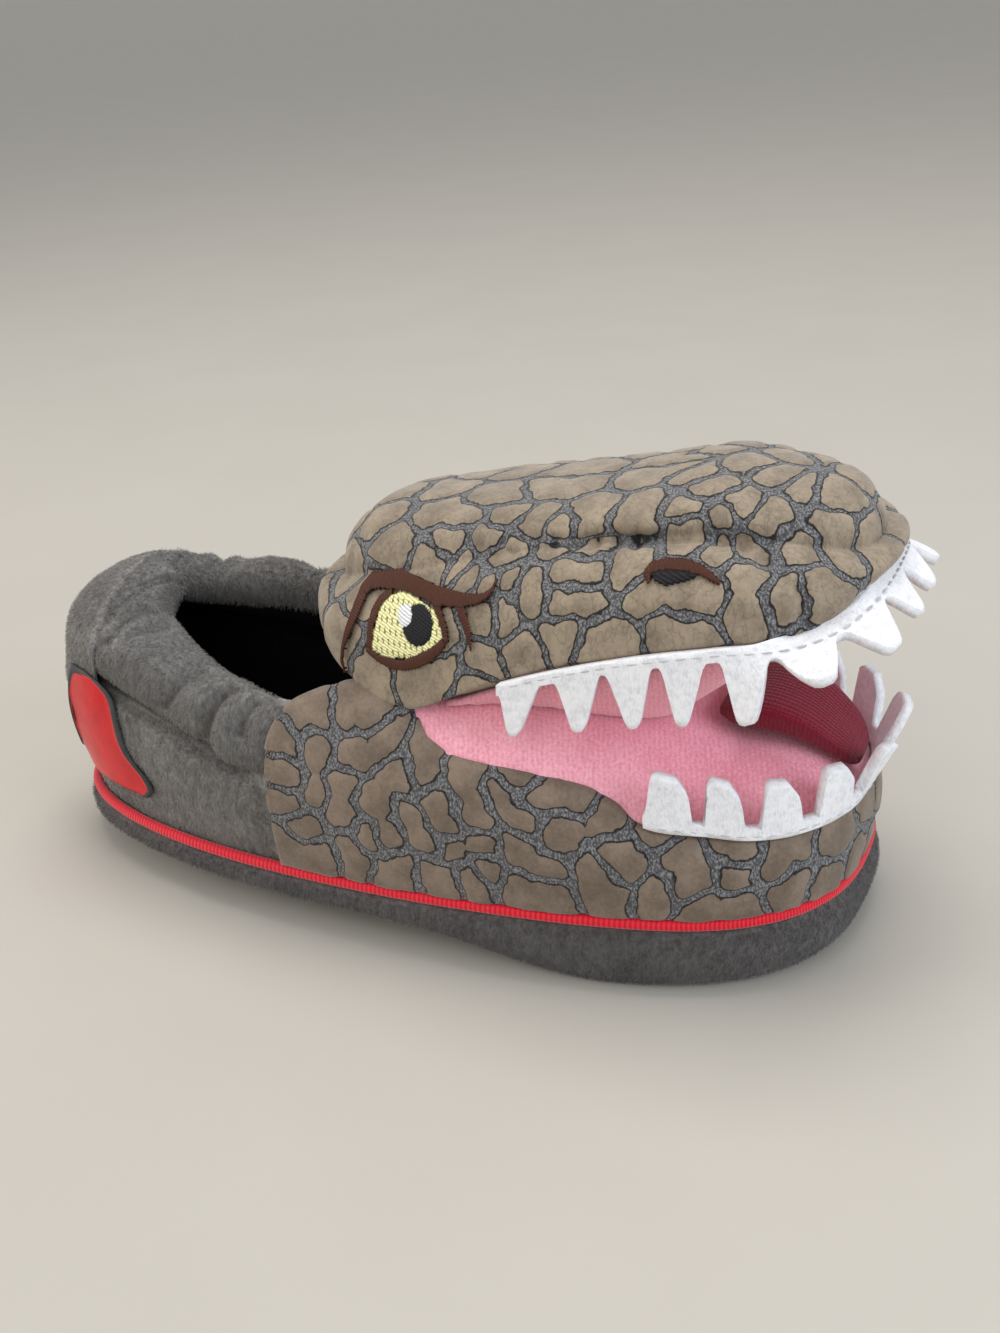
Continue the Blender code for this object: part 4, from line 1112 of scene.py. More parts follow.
@dataclass(frozen=True)
class Collar:
    """The padded roll round the foot's opening, with gathers at its sides and back."""

    upper: UpperForm
    columns: int = 400
    rows: int = 90
    power: float = 2.2
    seat: float = 1.4
    start: float = -17.0
    lining_from: float = 160.0
    mm_per_turn: float = 1.25
    mm_per_around: float = 0.17
    crease_rise: float = 0.6
    crease_core: float = 0.57
    crease_width: float = 1.9
    crease_bare: float = 0.2
    furry_above: float = 34.0
    flatten: float = 0.5
    slump_from: float = -0.2
    lump: float = 0.35
    lump_size: float = 12.0
    wrinkle: float = 0.12
    wrinkle_size: float = 5.0
    roll: Profile = Profile(
        (-40, 0.0), (-20, 5.0), (0, 10.0), (20, 11.5), (35, 10.0), (48, 6.0), (56, 3.0), (62, 1.0), (68, 0.0)
    )
    sag: Profile = Profile(
        (-54, 0.0), (-40, 2.6), (-25, 1.5), (-10, 0.0), (44, 0.0), (51, 2.4), (58, 4.2), (64, 3.6),
        (70, 2.0), (80, 1.2),
    )
    seam: Profile = Profile(*zip(COLLAR_X, (57.5, 55.0, 51.5, 48.5, 43.8, 40.0, 38.2, 37.0)))
    top: Profile = Profile(*zip(COLLAR_X, (68.0, 67.5, 66.5, 65.5, 63.0, 60.0, 58.4, 57.2)))
    lean: Profile = Profile(*zip(COLLAR_X, (16.0, 15.5, 14.5, 13.0, 10.5, 8.5, 7.2, 6.0)))
    pad: Profile = Profile(*zip(COLLAR_X, (6.5, 6.8, 7.2, 7.5, 7.0, 6.5, 5.4, 3.2)))
    gathers: tuple[Fold, ...] = (
        Fold(line=((40, 5), (38.9, 15), (36.8, 39), (33.7, 69), (22, 100)), depth=2.6, width=1.8),
        Fold(line=((33, 40), (29, 62), (18, 95)), depth=1.1, width=1.5),
        Fold(line=((44, -12), (44.6, 15), (46.4, 37), (48.7, 62), (50, 80)), depth=2.8, width=1.8),
        Fold(line=((48, 7), (49.6, 24), (51.4, 41), (52.5, 64)), depth=2.0, width=1.5),
        Fold(line=((51.5, 30), (53.5, 48), (55.5, 66)), depth=1.0, width=1.3),
        Fold(line=((57.7, -58), (59.1, -32), (60.4, -11), (61.8, 26), (62.6, 55)), depth=3.0, width=1.7),
        Fold(line=((65.2, -75), (65.7, -47), (66.4, -19), (67.3, 19), (69, 62)), depth=4.2, width=1.7),
        Fold(line=((68.8, -60), (69.3, -20), (70, 20), (71, 50)), depth=-1.0, width=2.2),
        Fold(line=((71.8, -12), (72, 4), (72.3, 22), (73.2, 51)), depth=2.2, width=1.3),
    )

    def crease(self, points: Array) -> Array:
        """How far places are into the seam under the roll, from 0 to 1."""
        above = points[:, 2] - self.seam(points[:, 0]) - self.crease_rise
        return 1 - ease(self.crease_core, self.crease_width, np.abs(above))

    def uncreased(self, points: Array) -> Array:
        """Which places are clear enough of the seam to have pile."""
        return self.crease(points) < self.crease_bare

    def furry(self, points: Array) -> Array:
        """Which places of the roll have pile that shows."""
        return (points[:, 2] > self.furry_above) & self.uncreased(points)

    def gathered(self, turn: Array, around: Array) -> Array:
        """How much the gathers take off the roll."""
        scale = np.array([self.mm_per_turn, self.mm_per_around])
        flat = np.stack([np.abs(np.degrees(turn) - 180), np.degrees(around)], axis=-1) * scale
        loss = np.zeros_like(turn)
        for fold in self.gathers:
            line = tuple(tuple(np.array(point) * scale) for point in fold.line)
            loss -= Fold(line, fold.depth, fold.width).relief(flat)
        return loss

    def place(self, u: Array, v: Array) -> Array:
        """Points of the roll for u along it and v round its section."""
        begin = self.upper.turn_at(self.start)
        return self.section(begin + 2 * (math.pi - begin) * u, math.tau * v - math.pi / 2, 0.0)

    def section(self, turn: Array, around: Array, lift: Array | float) -> Array:
        """Points of the roll's rounded sections.

        Args:
            turn: turns about the foot.
            around: angles round the section, 0 outermost and a right angle at the top.
            lift: height off the roll.

        Returns:
            The points.
        """
        x = self.upper.sole.outline(turn, self.upper.inset)[..., 0]
        sunk = -self.upper.wall / 2
        low = self.upper.at_line(turn, sunk, lambda at: self.seam(at) + self.seat)
        out_dir = self.upper.outward(turn)
        high = low - out_dir * self.lean(x)[..., None]
        high[..., 2] = self.top(x)
        axis = unit(high - low)
        aside = unit(out_dir - axis * (out_dir * axis).sum(-1, keepdims=True))
        out, up = squircle(around, self.power)
        loss = self.gathered(turn, around) - lift
        reach = np.linalg.norm(high - low, axis=-1) / 2
        along_axis = axis * ((reach - self.flatten * loss) * up)[..., None]
        from_heel = np.degrees(turn) - 180
        slump = out_dir * self.roll(from_heel)[..., None] + UP * self.sag(from_heel)[..., None]
        slump *= ease(self.slump_from, 1.0, up)[..., None]
        return (low + high) / 2 + along_axis + aside * ((self.pad(x) - loss) * out)[..., None] - slump

    def build(self, finishes: Wardrobe) -> None:
        """Make the collar."""
        bm = close_up(bent_grid(self.columns, self.rows, self.place))
        uv = bm.loops.layers.uv.active
        # the inner side of the roll takes the near-black fleece: black lining and painted shade
        lined = (self.lining_from + 90) / 360
        for face in bm.faces:
            face.material_index = int(min(loop[uv].uv.y for loop in face.loops) > lined)
        piece = Piece("collar_roll", bm, finishes["collar_plush"], finishes["black_fleece"])
        points = piece.points()
        # painted shade in the crease at the foot of the roll
        piece.mark("crease", self.crease(points))
        lumps = soft_noise(points, self.lump_size) * self.lump
        piece.raise_skin(lumps + soft_noise(points, self.wrinkle_size) * self.wrinkle)
        piece.declare("collar_plush", "collar").object


@dataclass(frozen=True)
class HeelCounter:
    """The plush panel at the back that goes from the patch up over the collar in an arch."""

    upper: UpperForm
    collar: Collar
    half_turn: float = 42.5
    columns: int = 130
    rows: int = 40
    thickness: float = 0.8
    lump: float = 0.2
    lump_size: float = 11.0
    foot: float = 43.0
    knee: float = 49.0
    onto_roll: float = -38.0
    past_arch: float = 7.0
    lifts: tuple[float, ...] = (0.3, 0.7, 0.7, 0.6, -0.8)
    arch: Profile = Profile(
        (0, 24.0), (20, 23.0), (28, 21.0), (33.5, 17.0), (38, 4.0), (41, -12.0), (42.5, -30.0)
    )

    def place(self, u: Array, v: Array) -> Array:
        """Points of a smooth sheet through five lines, from the shell up to the arch on the collar."""
        from_heel = self.half_turn * (2 * u - 1)
        turn = math.pi + np.radians(from_heel)
        top = self.arch(np.abs(from_heel))
        heights = self.foot, self.knee
        angles = np.minimum(self.onto_roll, top), top, top + self.past_arch
        lines = [
            self.upper.at_line(turn, lift, lambda at: np.full_like(at, height))
            for height, lift in zip(heights, self.lifts)
        ]
        lines += [
            self.collar.section(turn, np.radians(angle), lift)
            for angle, lift in zip(angles, self.lifts[len(heights):])
        ]
        spans = len(lines) - 1
        part = np.minimum((v * spans).astype(int), spans - 1)
        at = [np.choose(np.clip(part + step, 0, spans)[:, None], lines) for step in (-1, 0, 1, 2)]
        slopes = (at[2] - at[0]) / 2, (at[3] - at[1]) / 2
        return bridge((v * spans - part)[:, None], at[1], at[2], *slopes)

    def build(self, finishes: Wardrobe) -> None:
        """Make the panel."""
        bm = face_away(bent_grid(self.columns, self.rows, self.place), INSIDE)
        piece = Piece("heel_counter", bm, finishes["grey_plush"])
        piece.raise_skin(soft_noise(piece.points(), self.lump_size) * self.lump)
        piece.thicken(self.thickness, -1)
        piece.declare("upper_plush")


@dataclass(frozen=True)
class Shell:
    """The hollow upper with its black lining, kept near black as painted shade inside."""

    upper: UpperForm
    collar: Collar
    front: int = 110
    back: int = 170
    rows: int = 48
    step: float = 0.6
    lump: float = 0.45
    lump_size: float = 14.0
    quarter: Pair = (-36.0, -27.0)
    puff: float = 1.7
    puff_low: float = 1.25
    puff_start: Pair = (-64.0, -50.0)
    tuck: float = 3.0
    tuck_from: float = 0.88
    into_roll: float = 2.4

    def build(self, finishes: Wardrobe) -> None:
        """Make the shell."""
        ahead, behind = (self.upper.turn_at(self.upper.jaw_rear + sign * self.step) for sign in (1, -1))
        toe = np.linspace(-ahead, ahead, self.front + 1)
        turns = np.concatenate([toe, np.linspace(behind, math.tau - behind, self.back + 1), [-ahead]])
        x = self.upper.sole.outline(turns, self.upper.inset)[..., 0]
        ends = np.ones(len(turns))
        low = x < self.upper.throat
        ends[low] = self.upper.rise_at(turns[low], 0.0, lambda at: np.full_like(at, self.upper.rim))
        heel = slice(self.front + 1, len(turns) - 1)
        ends[heel] = self.upper.rise_at(turns[heel], 0.0, lambda at: self.collar.seam(at) + self.into_roll)
        bm = wrapped(self.upper, turns, np.zeros_like(ends), ends, self.rows, np.zeros_like)
        piece = Piece("plush_upper", bm, finishes["grey_plush"], finishes["black_fleece"])
        points = piece.points()
        along, height = points[:, 0], points[:, 2]
        base = self.upper.sole.top(along)
        way = np.clip((height - base) / (self.collar.seam(along) - base), 0, 1)
        quarter = 1 - ease(*self.quarter, along)
        padded = self.puff * np.sin(math.pi * way**self.puff_low) * ease(*self.puff_start, along)
        tucked = self.tuck * ease(self.tuck_from, 1.0, way)
        # painted shade in the crease where the quarter runs under the collar roll
        piece.mark("crease", quarter * self.collar.crease(points))
        piece.raise_skin(quarter * (padded - tucked + soft_noise(points, self.lump_size) * self.lump))
        # the inner wall takes the near-black fleece: lining and painted shade
        piece.thicken(self.upper.wall, -1, inner_slot=1)
        piece.declare("upper_plush", "upper")


@dataclass(frozen=True)
class JawPanel:
    """The scaly panel round the toe, from the piping to the lower lip."""

    upper: UpperForm
    chart: ScaleChart = ScaleChart(JAW_SCALES, spacing=11.5)
    columns: int = 500
    rows: int = 70
    thickness: float = 2.0
    above_piping: float = 2.95
    fray: float = 0.5
    fray_size: float = 0.05
    puff: float = 0.6
    puff_over: Pair = (0.3, 2.6)
    lump: float = 0.3
    lump_size: float = 16.0
    lip_round: float = 0.8
    lip_from: float = 0.92
    tucked_in: Profile = Profile(
        (-24.5, -8.0), (-23, -3.5), (-20, 0.0), (-14, 2.4), (-5, 4.3), (4, 5.0), (9, 4.4), (17, 0.0)
    )

    def top_edge(self, x: Array) -> Array:
        """Heights of the top edge: the lip, further in under the head, and a round corner at the back."""
        return self.upper.lower_lip(x) + self.tucked_in(x)

    def build(self, finishes: Wardrobe) -> None:
        """Make the panel."""
        lift = LAY + self.thickness
        end = self.upper.turn_at(self.upper.jaw_rear + LAY)
        turns = np.linspace(-end, end, self.columns + 1)
        ragged = soft_noise(np.stack([turns, turns * 0, turns * 0], axis=-1), self.fray_size) * self.fray
        sole_top = self.upper.sole.top
        lows = self.upper.rise_at(turns, lift, lambda x: sole_top(x) + self.above_piping + ragged)
        highs = self.upper.rise_at(turns, lift, self.top_edge)

        def rounded(v: Array) -> Array:
            """Height off the skin, less at the lip."""
            return lift - self.lip_round * ease(self.lip_from, 1.0, v) ** 2

        bm = wrapped(self.upper, turns, lows, highs, self.rows, rounded)
        piece = Piece("jaw_scales", bm, finishes["jaw_scales"])
        points = piece.points()
        edge = self.chart.edges(points, self.upper.sole.middle)
        piece.mark("edge", edge)
        puffed = self.puff * (ease(*self.puff_over, edge) - 0.5)
        piece.raise_skin(puffed + soft_noise(points, self.lump_size) * self.lump)
        piece.thicken(self.thickness, -1)
        piece.declare("scale_cloth", "jaw_panel")


@dataclass(frozen=True)
class MouthFloor:
    """The pink fleece on the lower jaw."""

    upper: UpperForm
    reach: float = 0.86
    thickness: float = 1.0
    under_lip: float = 2.0
    lump: float = 0.25
    lump_size: float = 10.0
    columns: int = 160
    rows: int = 36

    def build(self, finishes: Wardrobe) -> None:
        """Make the fleece."""
        lift = LAY + self.thickness
        end = self.upper.turn_at(self.upper.jaw_rear + LAY) * self.reach
        turns = np.linspace(-end, end, self.columns + 1)
        lows = self.upper.rise_at(turns, lift, lambda x: self.upper.lower_lip(x) - self.under_lip)
        bm = wrapped(self.upper, turns, lows, np.ones_like(lows), self.rows, lambda v: np.full_like(v, lift))
        piece = Piece("mouth_floor_fleece", bm, finishes["pink_fleece"])
        piece.raise_skin(soft_noise(piece.points(), self.lump_size) * self.lump)
        piece.thicken(self.thickness, -1)
        piece.declare("pink_felt", "mouth_floor")


@dataclass(frozen=True)
class Head:
    """The stuffed head with its scales and crown seam, and the pink roof of its mouth."""

    form: HeadForm
    chart: ScaleChart = ScaleChart(HEAD_SCALES, spacing=11.0)
    columns: int = 580
    under_rows: int = 10
    cheek_rows: int = 54
    crown_rows: int = 44
    roof_columns: int = 160
    roof_rows: int = 28
    roof_start: float = 0.07
    roof_thickness: float = 1.2
    roof_reach: float = 17 / 56
    underside: float = 1.9
    puff: float = 0.5
    puff_over: Pair = (0.3, 2.4)
    lump: float = 0.5
    lump_size: float = 17.0
    seam_depth: float = 2.2
    seam_width: float = 1.9
    seam_edge: float = 0.6
    far_seam_spots: int = 8
    sewn: Pair = (-8.0, 10.0)
    unsewn_edge: float = 3.0
    pucker: float = 0.55
    pucker_pitch: float = 4.4
    pucker_reach: float = 5.0
    pucker_drift: float = 2.0
    pucker_size: float = 9.0
    calm_spots: tuple[tuple[float, ...], ...] = ((12.5, 78.0, 24.0, 16.0), (72.0, 96.0, 10.0, 5.0))
    calm_edge: Pair = (0.75, 1.25)

    def place(self, u: Array, v: Array) -> Array:
        """Points from the underside's middle, over the lip and up the cheek to the crown's middle line."""
        rows = self.under_rows + self.cheek_rows + self.crown_rows
        row, turn = np.rint(v * rows), u * math.tau
        points = np.empty((len(u), 3))
        under, crown = row < self.under_rows, row > self.under_rows + self.cheek_rows
        cheek = ~under & ~crown
        share = 1 - (1 - self.roof_start) * row[under] / (self.under_rows - 1)
        points[under] = self.form.above_roof(turn[under], share, self.underside)
        points[cheek] = self.form.cheek(turn[cheek], (row[cheek] - self.under_rows) / self.cheek_rows, 0.0)
        over = (row[crown] - self.under_rows - self.cheek_rows) / self.crown_rows
        points[crown] = self.form.crown(turn[crown], over)
        return points

    def roof_place(self, u: Array, v: Array) -> Array:
        """Points of the roof sheet from the lip inwards."""
        turn = math.tau * self.roof_reach * (2 * u - 1)
        return self.form.above_roof(turn, self.roof_start + (1 - self.roof_start) * v, 0.0)

    def calm(self, points: Array) -> Array:
        """How much relief is left at places of the skin: none under the embroidery."""
        return np.minimum(*(
            ease(*self.calm_edge, np.hypot((points[:, 0] - x) / half_x, (points[:, 2] - z) / half_z))
            for x, z, half_x, half_z in self.calm_spots
        ))

    def build(self, finishes: Wardrobe) -> None:
        """Make the head and its roof."""
        rows = self.under_rows + self.cheek_rows + self.crown_rows
        bm = close_up(bent_grid(self.columns, rows, self.place))
        piece = Piece("head_scales", bm, finishes["head_scales"])
        points = piece.points()
        middle = self.form.upper.sole.middle
        far_side = mirrored(CROWN_SEAM[: self.far_seam_spots], middle)
        seams = [Fold(line, self.seam_depth, self.seam_width) for line in (CROWN_SEAM, far_side)]
        near = np.minimum(*(seam.distance(points) for seam in seams))
        sewn = ease(*self.sewn, points[:, 0])
        # the crown seam counts as a channel, so it takes the fuzz and the painted shadow line of the scales
        seam_edge = near + self.seam_edge + self.unsewn_edge * (1 - sewn)
        edge = np.minimum(self.chart.edges(points, middle), seam_edge)
        piece.mark("edge", edge)
        waves = math.tau * points[:, 0] / self.pucker_pitch
        gathers = np.sin(waves + self.pucker_drift * soft_noise(points, self.pucker_size))
        relief = self.pucker * gathers * np.exp(-((near / self.pucker_reach) ** 2))
        relief += self.puff * (ease(*self.puff_over, edge) - 0.5)
        relief += soft_noise(points, self.lump_size) * self.lump
        groove = sewn * np.minimum(*(seam.relief(points) for seam in seams))
        piece.raise_skin(relief * self.calm(points) + groove)
        piece.declare("head_cloth", "head").object
        bm = bent_grid(self.roof_columns, self.roof_rows, self.roof_place)
        bmesh.ops.recalc_face_normals(bm, faces=bm.faces)
        roof = Piece("mouth_roof_fleece", bm, finishes["pink_fleece"])
        if roof.normals()[:, 2].mean() > 0:
            roof.mesh.flip_normals()
        roof.thicken(self.roof_thickness, -1)
        roof.declare("pink_felt", "mouth_roof")


@dataclass(frozen=True)
class Tongue:
    """The corded tongue."""

    sole: SoleForm
    rear: float = 73.0
    tip: float = 103.4
    power: float = 6.0
    tip_round: float = 3.0
    tip_open: float = 0.05
    tip_width: float = 0.45
    tip_height: float = 0.25
    columns: int = 90
    rows: int = 96
    low: Profile = Profile((73, 52.2), (77, 51.6), (84, 51.2), (92, 49.2), (99, 44.9), (103, 41.4))
    high: Profile = Profile((73, 54.5), (77, 56.6), (84, 57.4), (92, 54.6), (99, 49.0), (103, 44.5))
    width: Profile = Profile((73, 9.0), (77, 12.5), (84, 13.0), (92, 12.0), (99, 10.0), (103, 7.5))

    def place(self, u: Array, v: Array) -> Array:
        """Points of the rounded sections, drawn in at the tip."""
        x = self.rear + (self.tip - self.rear) * u
        across, up = squircle(v * math.tau, self.power)
        into_tip = (x - self.tip + self.tip_round).clip(0) / (self.tip_round + self.tip_open)
        full = np.sqrt(np.clip(1 - into_tip**2, 0.0, 1.0))
        y = self.sole.middle(x) + self.width(x) * (self.tip_width + (1 - self.tip_width) * full) * across
        half = (self.high(x) - self.low(x)) / 2 * (self.tip_height + (1 - self.tip_height) * full)
        return np.stack([x, y, (self.high(x) + self.low(x)) / 2 + half * up], axis=-1)

    def build(self, finishes: Wardrobe) -> None:
        """Make the tongue."""
        bm = close_up(bent_grid(self.columns, self.rows, self.place))
        piece = Piece("corded_tongue", bm, finishes["tongue_cord"])
        piece.declare("tongue_cord", "tongue").object


@dataclass(frozen=True)
class Tooth:
    """One tooth: x runs along the lip from its front middle, flare is in degrees."""

    x: float
    width: float
    length: float
    flare: float
    lean: float = 0.0


@dataclass(frozen=True)
class Teeth:
    """A felt strip with teeth, bent along a lip, and the stitches that hold it."""

    name: str
    node: str
    teeth: tuple[Tooth, ...]
    corners: tuple[Pair, ...]
    reach: float
    band: float
    rises: int
    edge: Curve
    out: Curve
    felt: float = FELT
    lump: float = 0.15
    lump_size: float = 6.0
    samples: int = 600
    rows: int = 12
    step: float = 0.55
    stitch: float = 2.2
    stitch_gap: float = 1.1
    stitch_radius: float = 0.22
    stitch_in: float = 0.8
    tuck: float = 2.6
    inside: Spot = (60, 0, 60)

    def turn_for(self, length: Array) -> Array:
        """Turns at lengths along the edge from its front middle."""
        turns = np.linspace(-math.pi, math.pi, 2 * self.samples + 1)
        steps = np.linalg.norm(np.diff(self.edge(turns), axis=0), axis=1)
        lengths = np.concatenate([[0.0], np.cumsum(steps)])
        return np.interp(length, lengths - lengths[self.samples], turns)

    def depth(self, length: Array) -> Array:
        """How far the strip hangs past its band."""
        half = [(0.0, 0.0), (self.reach, 0.0)]
        for tooth in self.teeth:
            at, deep = np.array(self.corners).T
            half += zip(tooth.x - at * tooth.width + tooth.lean * deep, deep * tooth.length)
        half.sort()
        places, depths = np.array(half).T
        return np.interp(np.abs(length), places, depths)

    def flare(self, length: Array) -> Array:
        """How far the teeth stand out from upright, in radians."""
        return Profile(*((tooth.x, math.radians(tooth.flare)) for tooth in self.teeth))(np.abs(length))

    def hang(self, length: Array) -> Array:
        """Directions in which the teeth point."""
        flare = self.flare(length)
        out = self.out(self.turn_for(length))
        return UP * self.rises * np.cos(flare)[..., None] + out * np.sin(flare)[..., None]

    def place(self, u: Array, v: Array) -> Array:
        """Points from the sewn edge to the tips; a strip that stands out starts further in and lower."""
        length = self.reach * (2 * u - 1)
        tucked = np.sin(self.flare(length))
        fall = (self.band + self.depth(length)) * v - self.tuck * tucked * (1 - v)
        drop = UP * (self.rises * self.felt / 2 * tucked)[..., None]
        return self.edge(self.turn_for(length)) + self.hang(length) * fall[..., None] + drop

    def stitches(self) -> Mesh:
        """Short threads along the sewn edge."""
        bm = bmesh.new()
        pitch = self.stitch + self.stitch_gap
        lengths = np.arange(-self.reach + pitch, self.reach - pitch, pitch)
        ends = []
        for shift in (0.0, self.stitch):
            at = lengths + shift
            outer = self.out(self.turn_for(at)) * (self.felt / 2)
            ends.append(self.edge(self.turn_for(at)) + self.hang(at) * self.stitch_in + outer)
        for start, end in zip(*ends):
            run = Vector(end - start)
            turn = run.to_track_quat("Z", "Y").to_matrix().to_4x4()
            made = bmesh.ops.create_uvsphere(bm, u_segments=8, v_segments=6, radius=1.0)
            size = Matrix.Diagonal((self.stitch_radius, self.stitch_radius, run.length / 2, 1.0))
            middle = Matrix.Translation(Vector((start + end) / 2))
            place = Matrix.Scale(MM, 4) @ middle @ turn @ size
            bmesh.ops.transform(bm, matrix=place, verts=made["verts"])
        return smooth(bm)

    def build(self, finishes: Wardrobe) -> None:
        """Make the strip and its stitches."""
        columns = 2 * round(self.reach / self.step)
        bm = face_away(bent_grid(columns, self.rows, self.place), self.inside)
        piece = Piece(self.name, bm, finishes["white_felt"])
        piece.raise_skin(soft_noise(piece.points(), self.lump_size) * self.lump)
        piece.thicken(self.felt, 0)
        piece.declare("white_felt", self.node)
        Piece(self.name + "_stitches", self.stitches(), finishes["seam_thread"]).declare("white_felt")


def beside(x: Array, z: Array, start: Sequence[float], end: Sequence[float]) -> tuple[Array, Array]:
    """How far along a straight line places are, from 0 to 1, and how far off it."""
    run_x, run_z = end[0] - start[0], end[1] - start[1]
    from_x, from_z = x - start[0], z - start[1]
    t = np.clip((from_x * run_x + from_z * run_z) / (run_x**2 + run_z**2), 0, 1)
    return t, np.hypot(from_x - t * run_x, from_z - t * run_z)


@dataclass(frozen=True)
class Stroke:
    """A satin stitched line seen from the side: places and widths along it."""

    points: tuple[Spot, ...]
    thread: Thread = Thread.BROWN

    def depth(self, x: Array, z: Array) -> tuple[Array, Array, Array]:
        """How far inside the line each place is, the half width there and the way along it."""
        best, half, way = np.full(len(x), -FAR), np.ones(len(x)), np.zeros(len(x))
        gone = 0.0
        for start, end in zip(self.points, self.points[1:]):
            t, off = beside(x, z, start, end)
            width = (start[2] + (end[2] - start[2]) * t) / 2
            better = width - off > best
            best, half = np.where(better, width - off, best), np.where(better, width, half)
            span = math.dist(start[:2], end[:2])
            way = np.where(better, gone + t * span, way)
            gone += span
        return best, half, way


@dataclass(frozen=True)
class Blot:
    """A filled round or cornered patch of stitches seen from the side."""

    thread: Thread
    outline: tuple[Pair, ...]
    fleck: Thread | None = None
    fleck_pitch: Pair = (1.5, 1.9)
    fleck_half: Pair = (0.13, 0.3)
    fleck_lean: float = 0.3
    round_in: float = 1.2
    lay: Pair = (0.25, 0.8)

    def flecks(self, x: Array, z: Array) -> Array:
        """Which places are in the staggered gaps between long stitches."""
        up = z / self.fleck_pitch[1]
        row = np.floor(up)
        across = (x + self.fleck_lean * z) / self.fleck_pitch[0] + 0.5 * (row % 2)
        half_x, half_z = self.fleck_half
        return (np.abs(across % 1 - 0.5) < half_x) & (np.abs(up - row - 0.5) < half_z)

    def depth(self, x: Array, z: Array) -> tuple[Array, Array, Array]:
        """How far inside the outline each place is, a half width and the way across the stitches."""
        nearest, crossings = np.full(len(x), FAR), np.zeros(len(x), dtype=int)
        for start, end in zip(self.outline, self.outline[1:] + self.outline[:1]):
            nearest = np.minimum(nearest, beside(x, z, start, end)[1])
            (x0, z0), (x1, z1) = start, end
            if z0 != z1:
                crossings += ((z0 > z) != (z1 > z)) & (x < x0 + (z - z0) / (z1 - z0) * (x1 - x0))
        depth = np.where(crossings % 2 == 1, nearest, -nearest)
        return depth, np.full(len(x), self.round_in), x * self.lay[0] + z * self.lay[1]


def sight(cloths: Sequence[str], eyes: Array, ways: Array) -> tuple[Array, Array]:
    """Where lines of sight first meet dressed pieces.

    Args:
        cloths: names of the pieces.
        eyes: where the lines start, in millimetres.
        ways: the directions in which they go.

    Returns:
        The places met, not-a-number where there is none, and the directions out of the cloth there.
    """
    bm = bmesh.new()
    for cloth in cloths:
        bm.from_mesh(bpy.data.meshes[cloth])
    tree = BVHTree.FromBMesh(bm)
    bm.free()
    places, outs = np.full(eyes.shape, np.nan), np.zeros(eyes.shape)
    for i, (eye, way) in enumerate(zip(eyes * MM, ways)):
        hit, normal, _, _ = tree.ray_cast(Vector(eye), Vector(way))
        if hit:
            places[i], outs[i] = np.array(hit) / MM, normal
    return places, outs


def oval(x: float, z: float, half_x: float, half_z: float, corners: int = 20) -> tuple[Pair, ...]:
    """An oval outline for a blot."""
    angles = (math.tau * i / corners for i in range(corners))
    return tuple((x + half_x * math.cos(a), z + half_z * math.sin(a)) for a in angles)


@dataclass(frozen=True)
class Embroidery:
    """Stitched marks on both cheeks, cut from a fine grid; later marks lie over earlier ones."""

    name: str
    node: str
    slot: str
    box: tuple[float, float, float, float]
    marks: tuple[Stroke | Blot, ...]
    cloth: str = "head_scales"
    pitch: float = 0.28
    rise: float = 0.55
    lay: float = 0.25
    backing: float = 0.5
    edge: float = 0.35
    layer: float = 0.06
    margin: float = 0.05

    def build(self, finishes: Wardrobe) -> None:
        """Make the marks on both cheeks."""
        for side, hand in ((Side.OUTER, "right"), (Side.INNER, "left")):
            self.build_side(finishes, side, hand)

    def build_side(self, finishes: Wardrobe, side: Side, hand: str) -> None:
        """Make the marks on one cheek.

        Args:
            finishes: the materials.
            side: which cheek.
            hand: its word in the piece's name.
        """
        x0, z0, x1, z1 = self.box
        bm = bmesh.new()
        columns, rows = round((x1 - x0) / self.pitch), round((z1 - z0) / self.pitch)
        bmesh.ops.create_grid(bm, x_segments=columns, y_segments=rows, size=0.5)
        flat = np.array([vert.co.xy for vert in bm.verts]) + 0.5
        x, z = x0 + (x1 - x0) * flat[:, 0], z0 + (z1 - z0) * flat[:, 1]
        inside = np.full(len(x), -1.0)
        height, way = np.zeros(len(x)), np.zeros(len(x))
        colours = np.zeros((len(x), 3))
        for order, mark in enumerate(self.marks):
            depth, half, run = mark.depth(x, z)
            here = depth > 0
            round_top = np.sqrt(np.clip(1 - (1 - np.clip(depth / half, 0, 1)) ** 2, 0, 1))
            over = self.rise * (self.edge + (1 - self.edge) * round_top) + self.layer * order
            height = np.where(here, over, height)
            way = np.where(here, run, way)
            colours[here] = mark.thread.value
            if isinstance(mark, Blot) and mark.fleck:
                colours[here & mark.flecks(x, z)] = mark.fleck.value
            inside = np.maximum(inside, depth)
        eyes = np.stack([x, np.full_like(x, RAY_START * side.value), z], axis=-1)
        places, outs = sight((self.cloth,), eyes, np.tile((0.0, -side.value, 0.0), (len(x), 1)))
        index = {vert: i for i, vert in enumerate(bm.verts)}
        keep = (inside > -self.margin) & (np.nan_to_num(places[:, 1]) * side.value > 0)
        for vert, point in zip(bm.verts, np.nan_to_num(places) + outs * (self.lay + height)[:, None]):
            vert.co = point * MM
        bare = [face for face in bm.faces if not all(keep[index[vert]] for vert in face.verts)]
        bmesh.ops.delete(bm, geom=bare, context="FACES")
        kept = np.array([index[vert] for vert in bm.verts])
        face_away(smooth(bm), ((x0 + x1) / 2, 0, (z0 + z1) / 2))
        piece = Piece(f"{self.name}_{hand}", bm, finishes["satin_stitch"])
        piece.paint("thread", colours[kept])
        piece.mark("stitch", way[kept])
        piece.thicken(self.backing, -1, even=False)
        piece.declare(self.slot, f"{self.node}_{hand}")


